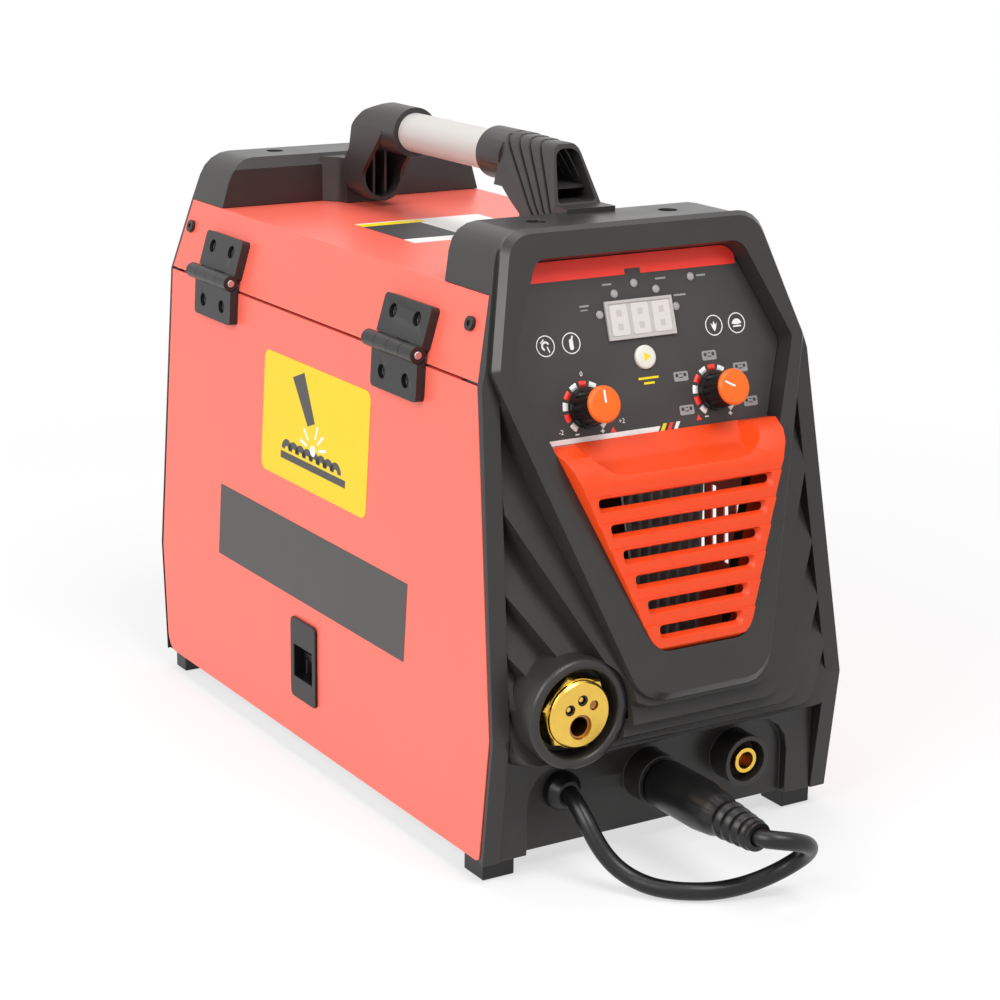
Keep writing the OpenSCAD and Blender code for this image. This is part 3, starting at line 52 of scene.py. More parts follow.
def addCamera(c):
    az, el, roll = (math.radians(c[k]) for k in ("azimuth", "elevation", "roll"))
    back = Vector((math.sin(az) * math.cos(el), -math.cos(az) * math.cos(el), math.sin(el)))
    right = (-back).cross(Vector((0, 0, 1))).normalized()
    up = right.cross(-back)
    turnedRight = right * math.cos(roll) + up * math.sin(roll)
    turnedUp = up * math.cos(roll) - right * math.sin(roll)
    data = bpy.data.cameras.new("camera")
    data.lens = c["lens"]
    data.sensor_width = c["sensor"]
    data.clip_start = c["clipStart"] * mm
    cam = bpy.data.objects.new("camera", data)
    scene.collection.objects.link(cam)
    place = Vector(c["target"]) * mm + back * c["distance"] * mm
    turn = Matrix((turnedRight, turnedUp, back)).transposed().to_4x4()
    cam.matrix_world = Matrix.Translation(place) @ turn
    scene.camera = cam


addCamera(camera)
print("camera ready")


class Wire:  # one socket of a node tree, on which Python's operators add Math nodes
    def __init__(self, shading, socket):
        self.shading = shading
        self.socket = socket

    def maths(self, operation, a, b=None):
        values = {0: a} if b is None else {0: a, 1: b}
        return self.shading.node("ShaderNodeMath", {"operation": operation}, values)

    def __add__(self, other):
        return self.maths("ADD", self, other)

    def __sub__(self, other):
        return self.maths("SUBTRACT", self, other)

    def __rsub__(self, other):
        return self.maths("SUBTRACT", other, self)

    def __mul__(self, other):
        return self.maths("MULTIPLY", self, other)

    def sine(self):
        return self.maths("SINE", self)

    def root(self):
        return self.maths("SQRT", self)

    def most(self, other):
        return self.maths("MAXIMUM", self, other)

    __radd__ = __add__
    __rmul__ = __mul__


class Shading:  # a tree of shader nodes and the one way its nodes are added
    def __init__(self, tree):
        self.tree = tree

    def node(self, kind, settings, values, output=0):
        n = self.tree.nodes.new(kind)
        for key, value in settings.items():
            setattr(n, key, value)
        for key, value in values.items():
            if isinstance(value, Wire):
                self.tree.links.new(value.socket, n.inputs[key])
            else:
                n.inputs[key].default_value = value
        return Wire(self, n.outputs[output])

    def seen(self):  # 1 for the camera, and for a mirror or glass that shows the background
        rays = [self.node("ShaderNodeLightPath", {}, {}, "Is " + kind + " Ray")
                for kind in ("Camera", "Glossy", "Transmission")]
        return rays[0].most(rays[1]).most(rays[2])

    def close(self, factor, lit, shown, end):
        mix = self.node("ShaderNodeMixShader", {}, {0: factor, 1: lit, 2: shown})
        self.tree.links.new(mix.socket, self.tree.nodes[end].inputs["Surface"])


class Finish(Shading):  # a material
    def __init__(self, name, colour, roughness=0.5, metallic=0.0, **fixed):
        self.material = bpy.data.materials.new(name)
        self.material.use_nodes = True
        super().__init__(self.material.node_tree)
        self.shader = self.tree.nodes["Principled BSDF"]
        self.set("Base Color", (*colour, 1.0))
        self.set("Roughness", roughness)
        self.set("Metallic", metallic)
        for socketName, value in fixed.items():
            self.set(socketName.replace("_", " "), value)
        self.material.diffuse_color = (*colour, 1.0)

    def set(self, socketName, value):
        if isinstance(value, Wire):
            self.tree.links.new(value.socket, self.shader.inputs[socketName])
        else:
            self.shader.inputs[socketName].default_value = value

    def place(self):
        return self.node("ShaderNodeTexCoord", {}, {}, "Object")

    def noise(self, scale, detail=2.0, rough=0.5):
        values = {"Vector": self.place(), "Scale": scale, "Detail": detail, "Roughness": rough}
        return self.node("ShaderNodeTexNoise", {}, values)

    def bump(self, height, strength, distance):
        values = {"Height": height, "Strength": strength, "Distance": distance}
        self.set("Normal", self.node("ShaderNodeBump", {}, values))

    def blend(self, factor, a, b):
        return self.node("ShaderNodeMix", {"data_type": "RGBA"}, {0: factor, 6: (*a, 1.0), 7: (*b, 1.0)}, 2)


grain = {"fine": 2600, "depth": 0.0002}  # bumps to the metre, and their height in metres


def grainy(name, colour, roughness, pitch=grain["fine"], strength=0.12, spread=0.06):
    f = Finish(name, colour, roughness)
    f.bump(f.noise(pitch, 2.0), strength, grain["depth"])
    f.set("Roughness", f.noise(60, 3.0) * spread + (roughness - spread / 2))
    return f.material


def moulded(name, colour, roughness, pitch=grain["fine"], strength=0.12):  # plastic, uneven in shade
    f = Finish(name, colour, roughness, Specular_IOR_Level=0.4)
    dusty = tuple(c * 1.35 + 0.002 for c in colour)
    f.set("Base Color", f.blend(f.noise(35, 4.0, 0.6), colour, dusty))
    f.bump(f.noise(pitch, 2.0), strength, grain["depth"])
    f.set("Roughness", f.noise(70, 3.0) * 0.1 + (roughness - 0.05))
    return f.material


def paintedSheet(name, colour):  # baked enamel with a fine orange peel
    f = Finish(name, colour, 0.4, Specular_IOR_Level=0.62)
    light = tuple(min(1.0, c * 1.08 + 0.004) for c in colour)
    f.set("Base Color", f.blend(f.noise(9, 3.0), colour, light))
    f.bump(f.noise(900, 2.0), 0.05, grain["depth"])
    f.set("Roughness", f.noise(40, 4.0) * 0.08 + 0.31)
    return f.material


def turnedMetal(name, colour, roughness, centre=(0, 0)):  # rings of the tool round an axis along Y
    f = Finish(name, colour, roughness, 1.0)
    across = f.node("ShaderNodeSeparateXYZ", {}, {0: f.place()}, 0) - centre[0] * mm
    up = f.node("ShaderNodeSeparateXYZ", {}, {0: f.place()}, 2) - centre[1] * mm
    rings = ((across * across + up * up).root() * 9000).sine()
    f.bump(rings, 0.06, grain["depth"] / 2)
    f.set("Base Color", f.blend(f.noise(120, 4.0, 0.6), colour, tuple(c * 0.8 for c in colour)))
    f.set("Roughness", f.noise(300, 3.0) * 0.14 + (roughness - 0.07))
    return f.material


torchAxis = (-66, 90)  # X and Z of the sockets' middles, in mm
socketAxis = (47.5, 38.5)
# Each finish: how it is made, its colour, its roughness and what that maker takes after them
recipes = {
    "redSheet": (paintedSheet, (0.86, 0.135, 0.092)),
    "moulding": (moulded, (0.0220, 0.0200, 0.0190), 0.32),
    "shellBlack": (moulded, (0.0042, 0.0039, 0.0039), 0.34),
    "bracketBlack": (moulded, (0.0270, 0.0245, 0.0235), 0.36),
    "panelFilm": (moulded, (0.035, 0.031, 0.030), 0.5, 4000, 0.05),
    "grilleOrange": (grainy, (0.80, 0.056, 0.003), 0.42, 1800, 0.04),
    "knobOrange": (grainy, (0.88, 0.130, 0.004), 0.45, 1800, 0.03),
    "brass": (turnedMetal, (0.90, 0.58, 0.11), 0.22, torchAxis),
    "brassDark": (turnedMetal, (0.42, 0.20, 0.07), 0.36, torchAxis),
    "contactBrass": (turnedMetal, (0.90, 0.58, 0.09), 0.26, socketAxis),
    "gripGrey": (grainy, (0.52, 0.50, 0.478), 0.36, 1500, 0.05),
    "blackSteel": (moulded, (0.0135, 0.0125, 0.0125), 0.34, 1500, 0.08),
    "blackRubber": (moulded, (0.0048, 0.0045, 0.0045), 0.34, 900, 0.06),
    "zinc": (turnedMetal, (0.62, 0.62, 0.62), 0.34),
    "motorGrey": (grainy, (0.16, 0.165, 0.17), 0.45),
    "boardGreen": (grainy, (0.03, 0.16, 0.07), 0.4),
    "finAluminium": (grainy, (0.93, 0.93, 0.93), 0.4, 1500, 0.03),
    "copper": (turnedMetal, (0.72, 0.36, 0.16), 0.35),
    "buttonWhite": (grainy, (0.74, 0.72, 0.65), 0.35),
    "rockerRed": (grainy, (0.62, 0.03, 0.02), 0.3),
    "printWhite": (grainy, (0.84, 0.83, 0.81), 0.5),
    "printGrey": (grainy, (0.30, 0.295, 0.29), 0.5),
    "printRed": (grainy, (0.94, 0.042, 0.024), 0.4),
    "printYellow": (grainy, (0.88, 0.65, 0.004), 0.45),
    "plateYellow": (grainy, (0.78, 0.57, 0.003), 0.45),
    "printBlack": (grainy, (0.030, 0.029, 0.029), 0.5),
    "barCharcoal": (grainy, (0.052, 0.047, 0.047), 0.42),
    "displayPale": (grainy, (0.50, 0.47, 0.455), 0.3),
    "digitPale": (grainy, (0.66, 0.63, 0.61), 0.35),
    "digitHollow": (grainy, (0.53, 0.50, 0.48), 0.35),
    "lensMilky": (grainy, (0.36, 0.34, 0.33), 0.25),
}
finishes = {name: make(name, *values) for name, (make, *values) in recipes.items()}
slotFinish = {
    "red_sheet": "redSheet", "moulding": "moulding", "panel_film": "panelFilm",
    "display": "displayPale", "lens": "lensMilky", "orange_grille": "grilleOrange", "brass": "brass",
    "black_plastic": "shellBlack", "grip_grey": "gripGrey", "black_steel": "blackSteel",
    "zinc_steel": "zinc", "black_rubber": "blackRubber", "motor_grey": "motorGrey",
    "board_green": "boardGreen", "fin_aluminium": "finAluminium", "copper": "copper",
    "knob_orange": "knobOrange", "button_white": "buttonWhite", "rocker_red": "rockerRed",
}
slotOf = {s["node"]: s["material_slot"] for s in frame["record"]["subparts"]}
bodyOf = {n: b for b, group in frame["record"]["behaviour"]["bodies"].items() for n in group}
for name, obj in nodes.items():
    obj.data.materials.clear()
    obj.data.materials.append(finishes[slotFinish[slotOf[name]]])
print("finishes ready:", len(finishes))


def link(name, mesh, finish, body):
    obj = bpy.data.objects.new(name, mesh)
    scene.collection.objects.link(obj)
    if finish:
        mesh.materials.clear()
        mesh.materials.append(finishes[finish])
    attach(obj, body)
    return obj


def thicken(bm, faces, by):  # gives flat faces a second side, moved along Z
    for v in bmesh.ops.extrude_face_region(bm, geom=faces)["geom"]:
        if isinstance(v, bmesh.types.BMVert):
            v.co.z += by


def prism(bm, outline, low, high):  # an outline in mm, between two heights
    base = [bm.verts.new((x * mm, y * mm, low * mm)) for x, y in outline]
    thicken(bm, [bm.faces.new(base)], (high - low) * mm)


def finished(bm, name, at):  # the mesh of a shape, in its place and with its faces outwards
    bmesh.ops.recalc_face_normals(bm, faces=bm.faces)
    bm.transform(at)
    mesh = bpy.data.meshes.new(name)
    bm.to_mesh(mesh)
    bm.free()
    return mesh


def placed(point, turn=Matrix.Identity(4)):  # a point in mm, with a turn round it
    return Matrix.Translation(Vector(point) * mm) @ turn


# The control face: its middle and its lean
face = {"middle": (0, -158.3, 253.4), "lean": math.radians(18.8)}
faceAt = placed(face["middle"], Matrix.Rotation(math.pi / 2 - face["lean"], 4, "X"))

# Finger scoop in the grille's hood: X across, V up the face, heights out of it
scoop = {"half": 53.5, "lowHalf": 46, "top": -38.1, "foot": -57.3, "corner": 13, "wall": 5, "crease": -48.5,
         "rows": [-38.1, -39.2, -41, -43, -44.3, -46, -47.4, -48.5, -50, -51.5, -53, -54.5, -55.5, -56.3,
                  -56.9, -57.3],
         "reach": [0, 1, 2.2, 3.6, 5], "columns": 15, "skin": 1.0, "cut": (-30, 25), "smooth": 24,
         "hood": [(-38, -14), (-39.2, -4), (-46, 4), (-52, 7.2), (-61, 8)],
         "floor": [(-38, -10.6), (-48.5, -4.2)]}


def along(table, v):  # a value read off a table of (place, value), places falling
    for (a, x), (b, y) in zip(table, table[1:]):
        if b <= v <= a:
            return x + (y - x) * (v - a) / (b - a)
    return table[-1][1]


def scoopHalf(v):  # half the scoop's width, with round lower corners
    c = scoop["corner"]
    drop = max(0.0, scoop["foot"] + c - v)
    fall = (scoop["top"] - v) / (scoop["top"] - scoop["foot"])
    straight = scoop["half"] + (scoop["lowHalf"] - scoop["half"]) * fall
    return straight - c + math.sqrt(max(0.0, c * c - drop * drop))


def scoopHeight(x, v):  # from the hood's own surface at the rim down to the scoop's floor
    wall = (scoopHalf(v) - abs(x)) / scoop["wall"]
    rise = (v - scoop["foot"]) / (scoop["crease"] - scoop["foot"])
    hood = along(scoop["hood"], v)
    return hood + (along(scoop["floor"], v) - hood) * min(1.0, wall, rise)


def scoopCutter():
    right = [(scoopHalf(v), v) for v in scoop["rows"]]
    outline = [(right[0][0], scoop["cut"][0])] + right
    outline += [(-x, v) for x, v in reversed(outline)]
    bm = bmesh.new()
    prism(bm, outline, *scoop["cut"])
    cutter = bpy.data.objects.new("scoopCutter", finished(bm, "scoopCutter", faceAt))
    scene.collection.objects.link(cutter)
    return cutter


def makeScoop():
    bm = bmesh.new()
    grid = []
    for v in scoop["rows"]:
        half = scoopHalf(v)
        inner = half - scoop["wall"]
        steps = scoop["columns"] + 1
        middle = [inner * (2 * i / steps - 1) for i in range(1, steps)]
        across = [r - half for r in scoop["reach"]] + middle + [half - r for r in reversed(scoop["reach"])]
        grid.append([bm.verts.new((x * mm, v * mm, scoopHeight(x, v) * mm)) for x in across])
    faces = []
    for above, below in zip(grid, grid[1:]):
        for i in range(len(above) - 1):
            faces.append(bm.faces.new((above[i], above[i + 1], below[i + 1], below[i])))
    thicken(bm, faces, -scoop["skin"] * mm)
    mesh = finished(bm, "grilleScoop", faceAt)
    mesh.shade_smooth()
    mesh.set_sharp_from_angle(angle=math.radians(scoop["smooth"]))
    link("grilleScoop", mesh, "grilleOrange", "machine")


# Edge rounding of each part: width in mm, steps
rounded = {
    "front_frame": (1.2, 3), "rear_frame": (1.2, 3), "front_bezel": (1.3, 3), "socket_panel": (0.9, 2),
    "grille": (0.8, 3), "handle_front_bracket": (0.9, 3), "handle_rear_bracket": (1.2, 3),
    "handle_tube": (0.3, 2), "hinge_upper_leaves": (0.7, 3), "hinge_lower_leaves": (0.7, 3),
    "hinge_pins": (0.4, 2), "rubber_feet": (1.6, 3), "outer_cover": (0.45, 2), "side_door": (0.45, 2),
    "latch_housing": (0.5, 2), "latch_slider": (0.3, 1), "cover_screws": (0.5, 2),
    "frame_screws": (0.4, 2), "display_window": (0.3, 2), "status_lenses": (0.15, 2),
    "lead_plug": (0.5, 2), "cable_gland": (0.5, 2), "torch_socket": (0.5, 2), "torch_insulator": (0.2, 1),
    "socket_contacts": (0.4, 2), "rear_panel": (0.3, 1), "fan_frame": (0.5, 2), "fan_rotor": (0.4, 2),
    "fan_guard": (0.2, 1), "switch_housing": (0.7, 2), "power_rocker": (0.8, 3), "gas_inlet": (0.4, 2),
    "mains_gland": (0.7, 2), "gas_valve": (0.6, 2), "hub_nut": (0.9, 3), "spool_hub": (0.8, 2),
    "spool_axle": (0.6, 2), "feed_plate": (0.4, 2), "feed_motor": (0.9, 2), "drive_roll": (0.3, 2),
    "pressure_arm": (0.9, 3), "pressure_roll": (0.4, 2), "tension_knob": (0.8, 2), "inlet_guide": (0.4, 2),
    "wire_outlet": (0.4, 2), "centre_partition": (0.3, 1), "base_tray": (0.3, 1),
    "control_panel": (0.2, 1), "control_pots": (0.4, 1), "inverter_board": (0.3, 1), "heat_sink": (0.2, 1),
    "output_choke": (1.5, 3), "left_knob": (0.3, 2), "right_knob": (0.3, 2), "left_knob_cap": (0.6, 3),
    "right_knob_cap": (0.6, 3), "mode_button": (0.5, 3),
}
finishOf = {"socket_contacts": "contactBrass", "handle_front_bracket": "bracketBlack",
            "handle_rear_bracket": "bracketBlack"}
softAngle = math.radians(32)  # a corner sharper than this is rounded
merging = {"near": 0.02, "flat": math.radians(0.6)}
cutters = {"grille": scoopCutter}


def soften(name, width, steps):
    mesh = nodes[name].data.copy()
    bm = bmesh.new()
    bm.from_mesh(mesh)
    bmesh.ops.remove_doubles(bm, verts=bm.verts, dist=merging["near"] * mm)
    bmesh.ops.dissolve_limit(bm, angle_limit=merging["flat"], verts=bm.verts, edges=bm.edges)
    bm.to_mesh(mesh)
    bm.free()
    first, *others = name.split("_")
    finish = finishOf.get(name, slotFinish[slotOf[name]])
    obj = link(first + "".join(w.title() for w in others), mesh, finish, bodyOf[name])
    mesh.shade_smooth()
    mesh.set_sharp_from_angle(angle=softAngle)
    cutter = cutters[name]() if name in cutters else None
    if cutter:
        cut = obj.modifiers.new("cut", "BOOLEAN")
        cut.object = cutter
        cut.solver = "EXACT"
    bevel = obj.modifiers.new("rounding", "BEVEL")
    bevel.width = width * mm
    bevel.segments = steps
    bevel.limit_method = "ANGLE"
    bevel.angle_limit = softAngle
    bevel.harden_normals = True
    bevel.use_clamp_overlap = True
    evaluated = obj.evaluated_get(bpy.context.evaluated_depsgraph_get())
    obj.data = bpy.data.meshes.new_from_object(evaluated)
    obj.modifiers.clear()
    if cutter:
        bpy.data.objects.remove(cutter)
    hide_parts(name)


for name, (width, steps) in rounded.items():
    soften(name, width, steps)
makeScoop()
print("edges rounded:", len(rounded))

# Polarity lead: its route in mm, from the gland to the plug
lead = {"diameter": 8.9, "steps": 8, "slack": 1.005, "route": [
    (-58, -172, 40), (-58, -179, 39.5), (-58.5, -186, 36.5), (-58, -192.5, 31), (-56.5, -198, 24),
    (-54, -203, 17.5), (-50.5, -208.5, 12), (-46, -215, 8), (-40.5, -222.5, 5.6), (-33.5, -230, 4.7),
    (-25, -236.5, 4.6), (-15.5, -241.5, 4.8), (-5.5, -245, 5.8), (4.5, -248, 8), (13.5, -251.5, 11.8),
    (20, -256, 17), (22.6, -261.5, 23), (20.5, -267, 29), (14.5, -270.8, 33.8), (6.5, -271.6, 37),
    (-1, -268.8, 38.4), (-5.4, -264, 38.5), (-6.5, -257, 38.5)]}


def makeLead(c):
    points = [Vector(p) * mm for p in c["route"]]
    curve = bpy.data.curves.new("polarityLead", "CURVE")
    curve.dimensions = "3D"
    spline = curve.splines.new("BEZIER")
    spline.bezier_points.add(len(points) - 1)
    for i, (knot, p) in enumerate(zip(spline.bezier_points, points)):
        ahead = points[min(i + 1, len(points) - 1)] - points[max(i - 1, 0)]  # a sixth of it is a handle
        knot.co = p
        knot.handle_left = p - ahead / 6
        knot.handle_right = p + ahead / 6
    spline.resolution_u = c["steps"]
    curve.bevel_depth = c["diameter"] / 2 * mm
    curve.bevel_resolution = c["steps"]
    curve.use_fill_caps = True
    obj = bpy.data.objects.new("polarityLead", curve)
    scene.collection.objects.link(obj)
    curve.materials.append(finishes["blackRubber"])
    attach(obj, "machine")
    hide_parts("polarity_lead")


makeLead(lead)
print("lead ready")

# Prints on the tilted panel: X across, V up the face, in mm
panel = {"front": -11.5, "lift": 0.01, "layer": 0.05, "film": 0.12, "dialX": 38.5, "dialV": -22.0}


def plates(name, outlines, low, high, finish, body, slot, at=faceAt):
    bm = bmesh.new()
    for outline in outlines:
        prism(bm, outline, low, high)
    return link(name, finished(bm, name, at), finish, body)


def arc(cx, cy, r, start, end, steps=8):
    return [(cx + r * math.cos(math.radians(start + (end - start) * i / steps)),
             cy + r * math.sin(math.radians(start + (end - start) * i / steps))) for i in range(steps + 1)]


def band(cx, cy, inner, outer, start, end, steps=8):
    return arc(cx, cy, outer, start, end, steps) + arc(cx, cy, inner, end, start, steps)


def hoop(cx, cy, inner, outer, parts=4):
    step = 360 / parts
    return [band(cx, cy, inner, outer, step * i, step * (i + 1) + 0.01, 10) for i in range(parts)]


def bar(cx, cy, w, h, turn=0.0):
    c, s = math.cos(math.radians(turn)), math.sin(math.radians(turn))
    return [(cx + x * c - y * s, cy + x * s + y * c) for x, y in
            ((-w / 2, -h / 2), (w / 2, -h / 2), (w / 2, h / 2), (-w / 2, h / 2))]


def roundedBar(cx, cy, w, h, r):
    points = []
    for sx, sy, start in ((1, -1, -90), (1, 1, 0), (-1, 1, 90), (-1, -1, 180)):
        points += arc(cx + sx * (w / 2 - r), cy + sy * (h / 2 - r), r, start, start + 90, 5)
    return points


def printed(name, outlines, finish, level=1):
    low = panel["front"] + panel["lift"] + panel["layer"] * (level - 1)
    return plates(name, outlines, low, low + panel["film"], finish, "machine", "panel_film")


headerStrip = [(-63.2, 40.4), (-4.2, 40.4), (-4.2, 43.2), (5.2, 43.2), (5.2, 40.4), (63.2, 40.4)] + \
    arc(55, 41.3, 8.9, 23, 90, 6) + arc(-55, 41.3, 8.9, 90, 157, 6)
printed("headerStrip", [headerStrip], "printRed")


class Shaping:  # a tree of Geometry Nodes with named inputs
    def __init__(self, name, inputs):
        self.tree = bpy.data.node_groups.new(name, "GeometryNodeTree")
        self.socket("Geometry", "NodeSocketGeometry", "INPUT")
        for label, kind in inputs.items():
            self.socket(label, "NodeSocket" + kind, "INPUT")
        self.socket("Material", "NodeSocketMaterial", "INPUT")
        self.socket("Geometry", "NodeSocketGeometry", "OUTPUT")
        self.given = self.tree.nodes.new("NodeGroupInput").outputs
        self.result = self.tree.nodes.new("NodeGroupOutput").inputs[0]

    def socket(self, label, kind, side):
        self.tree.interface.new_socket(label, in_out=side, socket_type=kind)

    def node(self, kind, values, output=0, **settings):
        n = self.tree.nodes.new(kind)
        for key, value in settings.items():
            setattr(n, key, value)
        for key, value in values.items():
            if isinstance(value, bpy.types.NodeSocket):
                self.tree.links.new(value, n.inputs[key])
            else:
                n.inputs[key].default_value = value
        return n.outputs[output]

    def maths(self, operation, a, b):
        return self.node("ShaderNodeMath", {0: a, 1: b}, operation=operation)

    def spread(self, points, piece, **more):  # the piece on every point, as one painted mesh
        values = dict({"Points": points, "Instance": piece}, **more)
        whole = self.node("GeometryNodeInstanceOnPoints", values)
        whole = self.node("GeometryNodeRealizeInstances", {0: whole})
        paint = {"Geometry": whole, "Material": self.given["Material"]}
        self.tree.links.new(self.node("GeometryNodeSetMaterial", paint), self.result)
        return self

    def make(self, name, values, finish, body, slot, at, points=()):
        mesh = bpy.data.meshes.new(name + "Points")
        mesh.from_pydata([Vector(p) * mm for p in points], [], [])
        holder = bpy.data.objects.new(name + "Holder", mesh)
        scene.collection.objects.link(holder)
        modifier = holder.modifiers.new("shaping", "NODES")
        modifier.node_group = self.tree
        values = dict(values, Material=finishes[finish])
        for item in self.tree.interface.items_tree:
            if item.in_out == "INPUT" and item.name in values:
                modifier[item.identifier] = values[item.name]
        made = bpy.data.meshes.new_from_object(holder.evaluated_get(bpy.context.evaluated_depsgraph_get()))
        holder.modifiers.clear()
        bpy.data.objects.remove(holder)
        made.transform(at)
        made.name = name
        return link(name, made, finish, body)


def dialTree():  # flat arcs set round a centre
    sizes = ("First", "Step", "Sweep", "Radius", "Width", "Thickness")
    t = Shaping("dialArcs", dict({"Count": "Int"}, **dict.fromkeys(sizes, "Float")))
    g = t.given
    start = t.maths("MULTIPLY", g["Sweep"], -0.5)
    curve = t.node("GeometryNodeCurveArc", {"Resolution": 7, "Radius": g["Radius"],
                                            "Sweep Angle": g["Sweep"], "Start Angle": start})
    curve = t.node("GeometryNodeSetCurveNormal", {"Curve": curve}, mode="Z_UP")
    section = t.node("GeometryNodeCurvePrimitiveQuadrilateral", {"Width": g["Width"],
                                                                 "Height": g["Thickness"]})
    arcMesh = t.node("GeometryNodeCurveToMesh", {"Curve": curve, "Profile Curve": section,
                                                 "Fill Caps": True})
    line = t.node("GeometryNodeMeshLine", {"Count": g["Count"], "Offset": (0, 0, 0)})
    angle = t.maths("ADD", g["First"], t.maths("MULTIPLY", t.node("GeometryNodeInputIndex", {}), g["Step"]))
    turn = t.node("FunctionNodeEulerToRotation", {0: t.node("ShaderNodeCombineXYZ", {"Z": angle})})
    return t.spread(line, arcMesh, Rotation=turn)


def screwTree():  # a dished screw head with a six-sided socket on each point
    t = Shaping("screwHeads", dict.fromkeys(("Head Radius", "Head Height", "Socket Radius"), "Float"))
    g = t.given
    lip = t.maths("MULTIPLY", g["Head Radius"], 0.2)
    flat = t.maths("SUBTRACT", g["Head Radius"], lip)
    top = t.node("ShaderNodeCombineXYZ", {"Z": t.maths("MULTIPLY", g["Head Height"], 0.5)})

    def circle(corners, radius):
        return t.node("GeometryNodeCurvePrimitiveCircle", {"Resolution": corners, "Radius": radius})

    def rim(path, section):  # a bead along a path, on top of the head
        bead = t.node("GeometryNodeCurveToMesh", {"Curve": path, "Profile Curve": section})
        return t.node("GeometryNodeTransform", {"Geometry": bead, "Translation": top})

    disc = t.node("GeometryNodeMeshCylinder", {"Vertices": 28, "Radius": flat, "Depth": g["Head Height"]})
    edge = rim(circle(32, flat), circle(10, lip))
    well = rim(circle(6, g["Socket Radius"]), circle(8, t.maths("MULTIPLY", lip, 0.6)))
    join = t.tree.nodes.new("GeometryNodeJoinGeometry")
    for part in (disc, edge, well):
        t.tree.links.new(part, join.inputs[0])
    return t.spread(g["Geometry"], join.outputs[0])


dial = {"radius": 11.9, "width": 3.0, "step": 27.0, "sweep": 19.0, "start": 225.0, "whites": 6, "reds": 5}
dialArcs = dialTree()


def makeDialScale(side, cx):
    at = faceAt @ placed((cx, panel["dialV"], panel["front"] + panel["lift"] + panel["film"] / 2))
    for shade, count, first in (("White", dial["whites"], 0), ("Red", dial["reds"], 1)):
        values = {"Count": count, "First": math.radians(dial["start"] - dial["step"] * first),
                  "Step": math.radians(-2 * dial["step"]), "Sweep": math.radians(dial["sweep"]),
                  "Radius": dial["radius"] * mm, "Width": dial["width"] * mm,
                  "Thickness": panel["film"] * mm}
        dialArcs.make(side + "Dial" + shade, values, "print" + shade, "machine", "panel_film", at)


makeDialScale("left", -panel["dialX"])
makeDialScale("right", panel["dialX"])

# Plus and minus signs beside each dial, and the red start marks under them
signs = {"reach": 7.3, "v": -34.1, "length": 2.2, "thick": 0.7, "nib": 0.8}
starts = {"places": (-25.1, 26.3), "half": 1.7, "foot": -35.4, "tip": -32.6}


def makeSigns():
    thick = signs["thick"]
    crosses = []
    for cx in (-panel["dialX"], panel["dialX"]):
        plus = cx + signs["reach"]
        crosses += [bar(x, signs["v"], signs["length"], thick) for x in (cx - signs["reach"], plus)]
        crosses += [bar(plus, signs["v"] + side * thick, thick, signs["nib"]) for side in (1, -1)]
    printed("dialSigns", crosses, "printWhite")
    half, foot = starts["half"], starts["foot"]
    marks = [[(x - half, foot), (x + half, foot), (x, starts["tip"])] for x in starts["places"]]
    printed("dialStarts", marks, "printRed")


makeSigns()

# Figures at the left dial: the lower left corner of each, on the panel
figures = {"0": (-39.3, -6.4), "-2": (-56.2, -33.2), "+2": (-21.2, -31.6)}
figureSize = {"height": 3.4, "level": 0.1, "thick": 0.08}


def makeFigures():
    bm = bmesh.new()
    for sign, (x, y) in figures.items():
        words = bpy.data.curves.new("figure", "FONT")
        words.body = sign
        words.size = figureSize["height"]
        holder = bpy.data.objects.new("figure", words)
        scene.collection.objects.link(holder)
        evaluated = holder.evaluated_get(bpy.context.evaluated_depsgraph_get())
        flat = bpy.data.meshes.new_from_object(evaluated)
        bpy.data.objects.remove(holder)
        flat.transform(Matrix.Translation((x, y, panel["front"] + figureSize["level"])))
        bm.from_mesh(flat)
    thicken(bm, list(bm.faces), -figureSize["thick"])
    mesh = finished(bm, "dialFigures", faceAt @ Matrix.Scale(mm, 4))
    link("dialFigures", mesh, "printWhite", "machine")


makeFigures()

# Mode boxes round the right dial: each has two eyes, a line under them and a line over them
mode = {"places": [(19.9, -29.6), (19.5, -12.7), (38.4, -4.1), (56.3, -11.9), (59.3, -29.5)],
        "box": (8.6, 4.8, 0.8), "eye": (1.7, 1.7, 0.5), "eyeAt": (2.4, 0.6),
        "under": (-0.5, 2.4, 0.5), "over": (1.2, 1.6, 0.45)}


def makeModes():
    marks = []
    across, up = mode["eyeAt"]
    for x, y in mode["places"]:
        marks += [roundedBar(x + side * across, y + up, *mode["eye"]) for side in (-1, 1)]
        for shift, width, height in (mode["under"], mode["over"]):
            marks.append(bar(x, y + shift, width, height))
    printed("modeBoxes", [roundedBar(x, y, *mode["box"]) for x, y in mode["places"]], "printGrey")
    printed("modeMarks", marks, "printBlack", 2)


makeModes()

# Icons in rings: a torch, a glove, a flame and a mask
iconRing = {"places": [(-56, 10), (-41.2, 10), (44.2, 10.5), (58.3, 10.4)], "radii": (4.75, 5.25)}
torchIcon = [band(-56, 10, 1.4, 2.4, 20, 250, 10), bar(-57.6, 12.4, 2.6, 0.6, 40),
             bar(-54.6, 8.2, 0.7, 3.0, 20)]
gloveIcon = [roundedBar(-41.2, 9.4, 2.2, 5.4, 0.9), bar(-40.4, 12.6, 0.9, 2.0, -20)]
flameIcon = [[(42.2, 11.8), (43.4, 8.6), (44.2, 7.4), (45.0, 8.6), (46.2, 11.8), (45.0, 10.6),
              (44.2, 12.6), (43.4, 10.6)]]
maskIcon = [band(58.3, 9.6, 0.0, 3.0, 10, 170, 10), bar(58.3, 8.8, 5.0, 0.8)]
rings = [part for x, y in iconRing["places"] for part in hoop(x, y, *iconRing["radii"])]
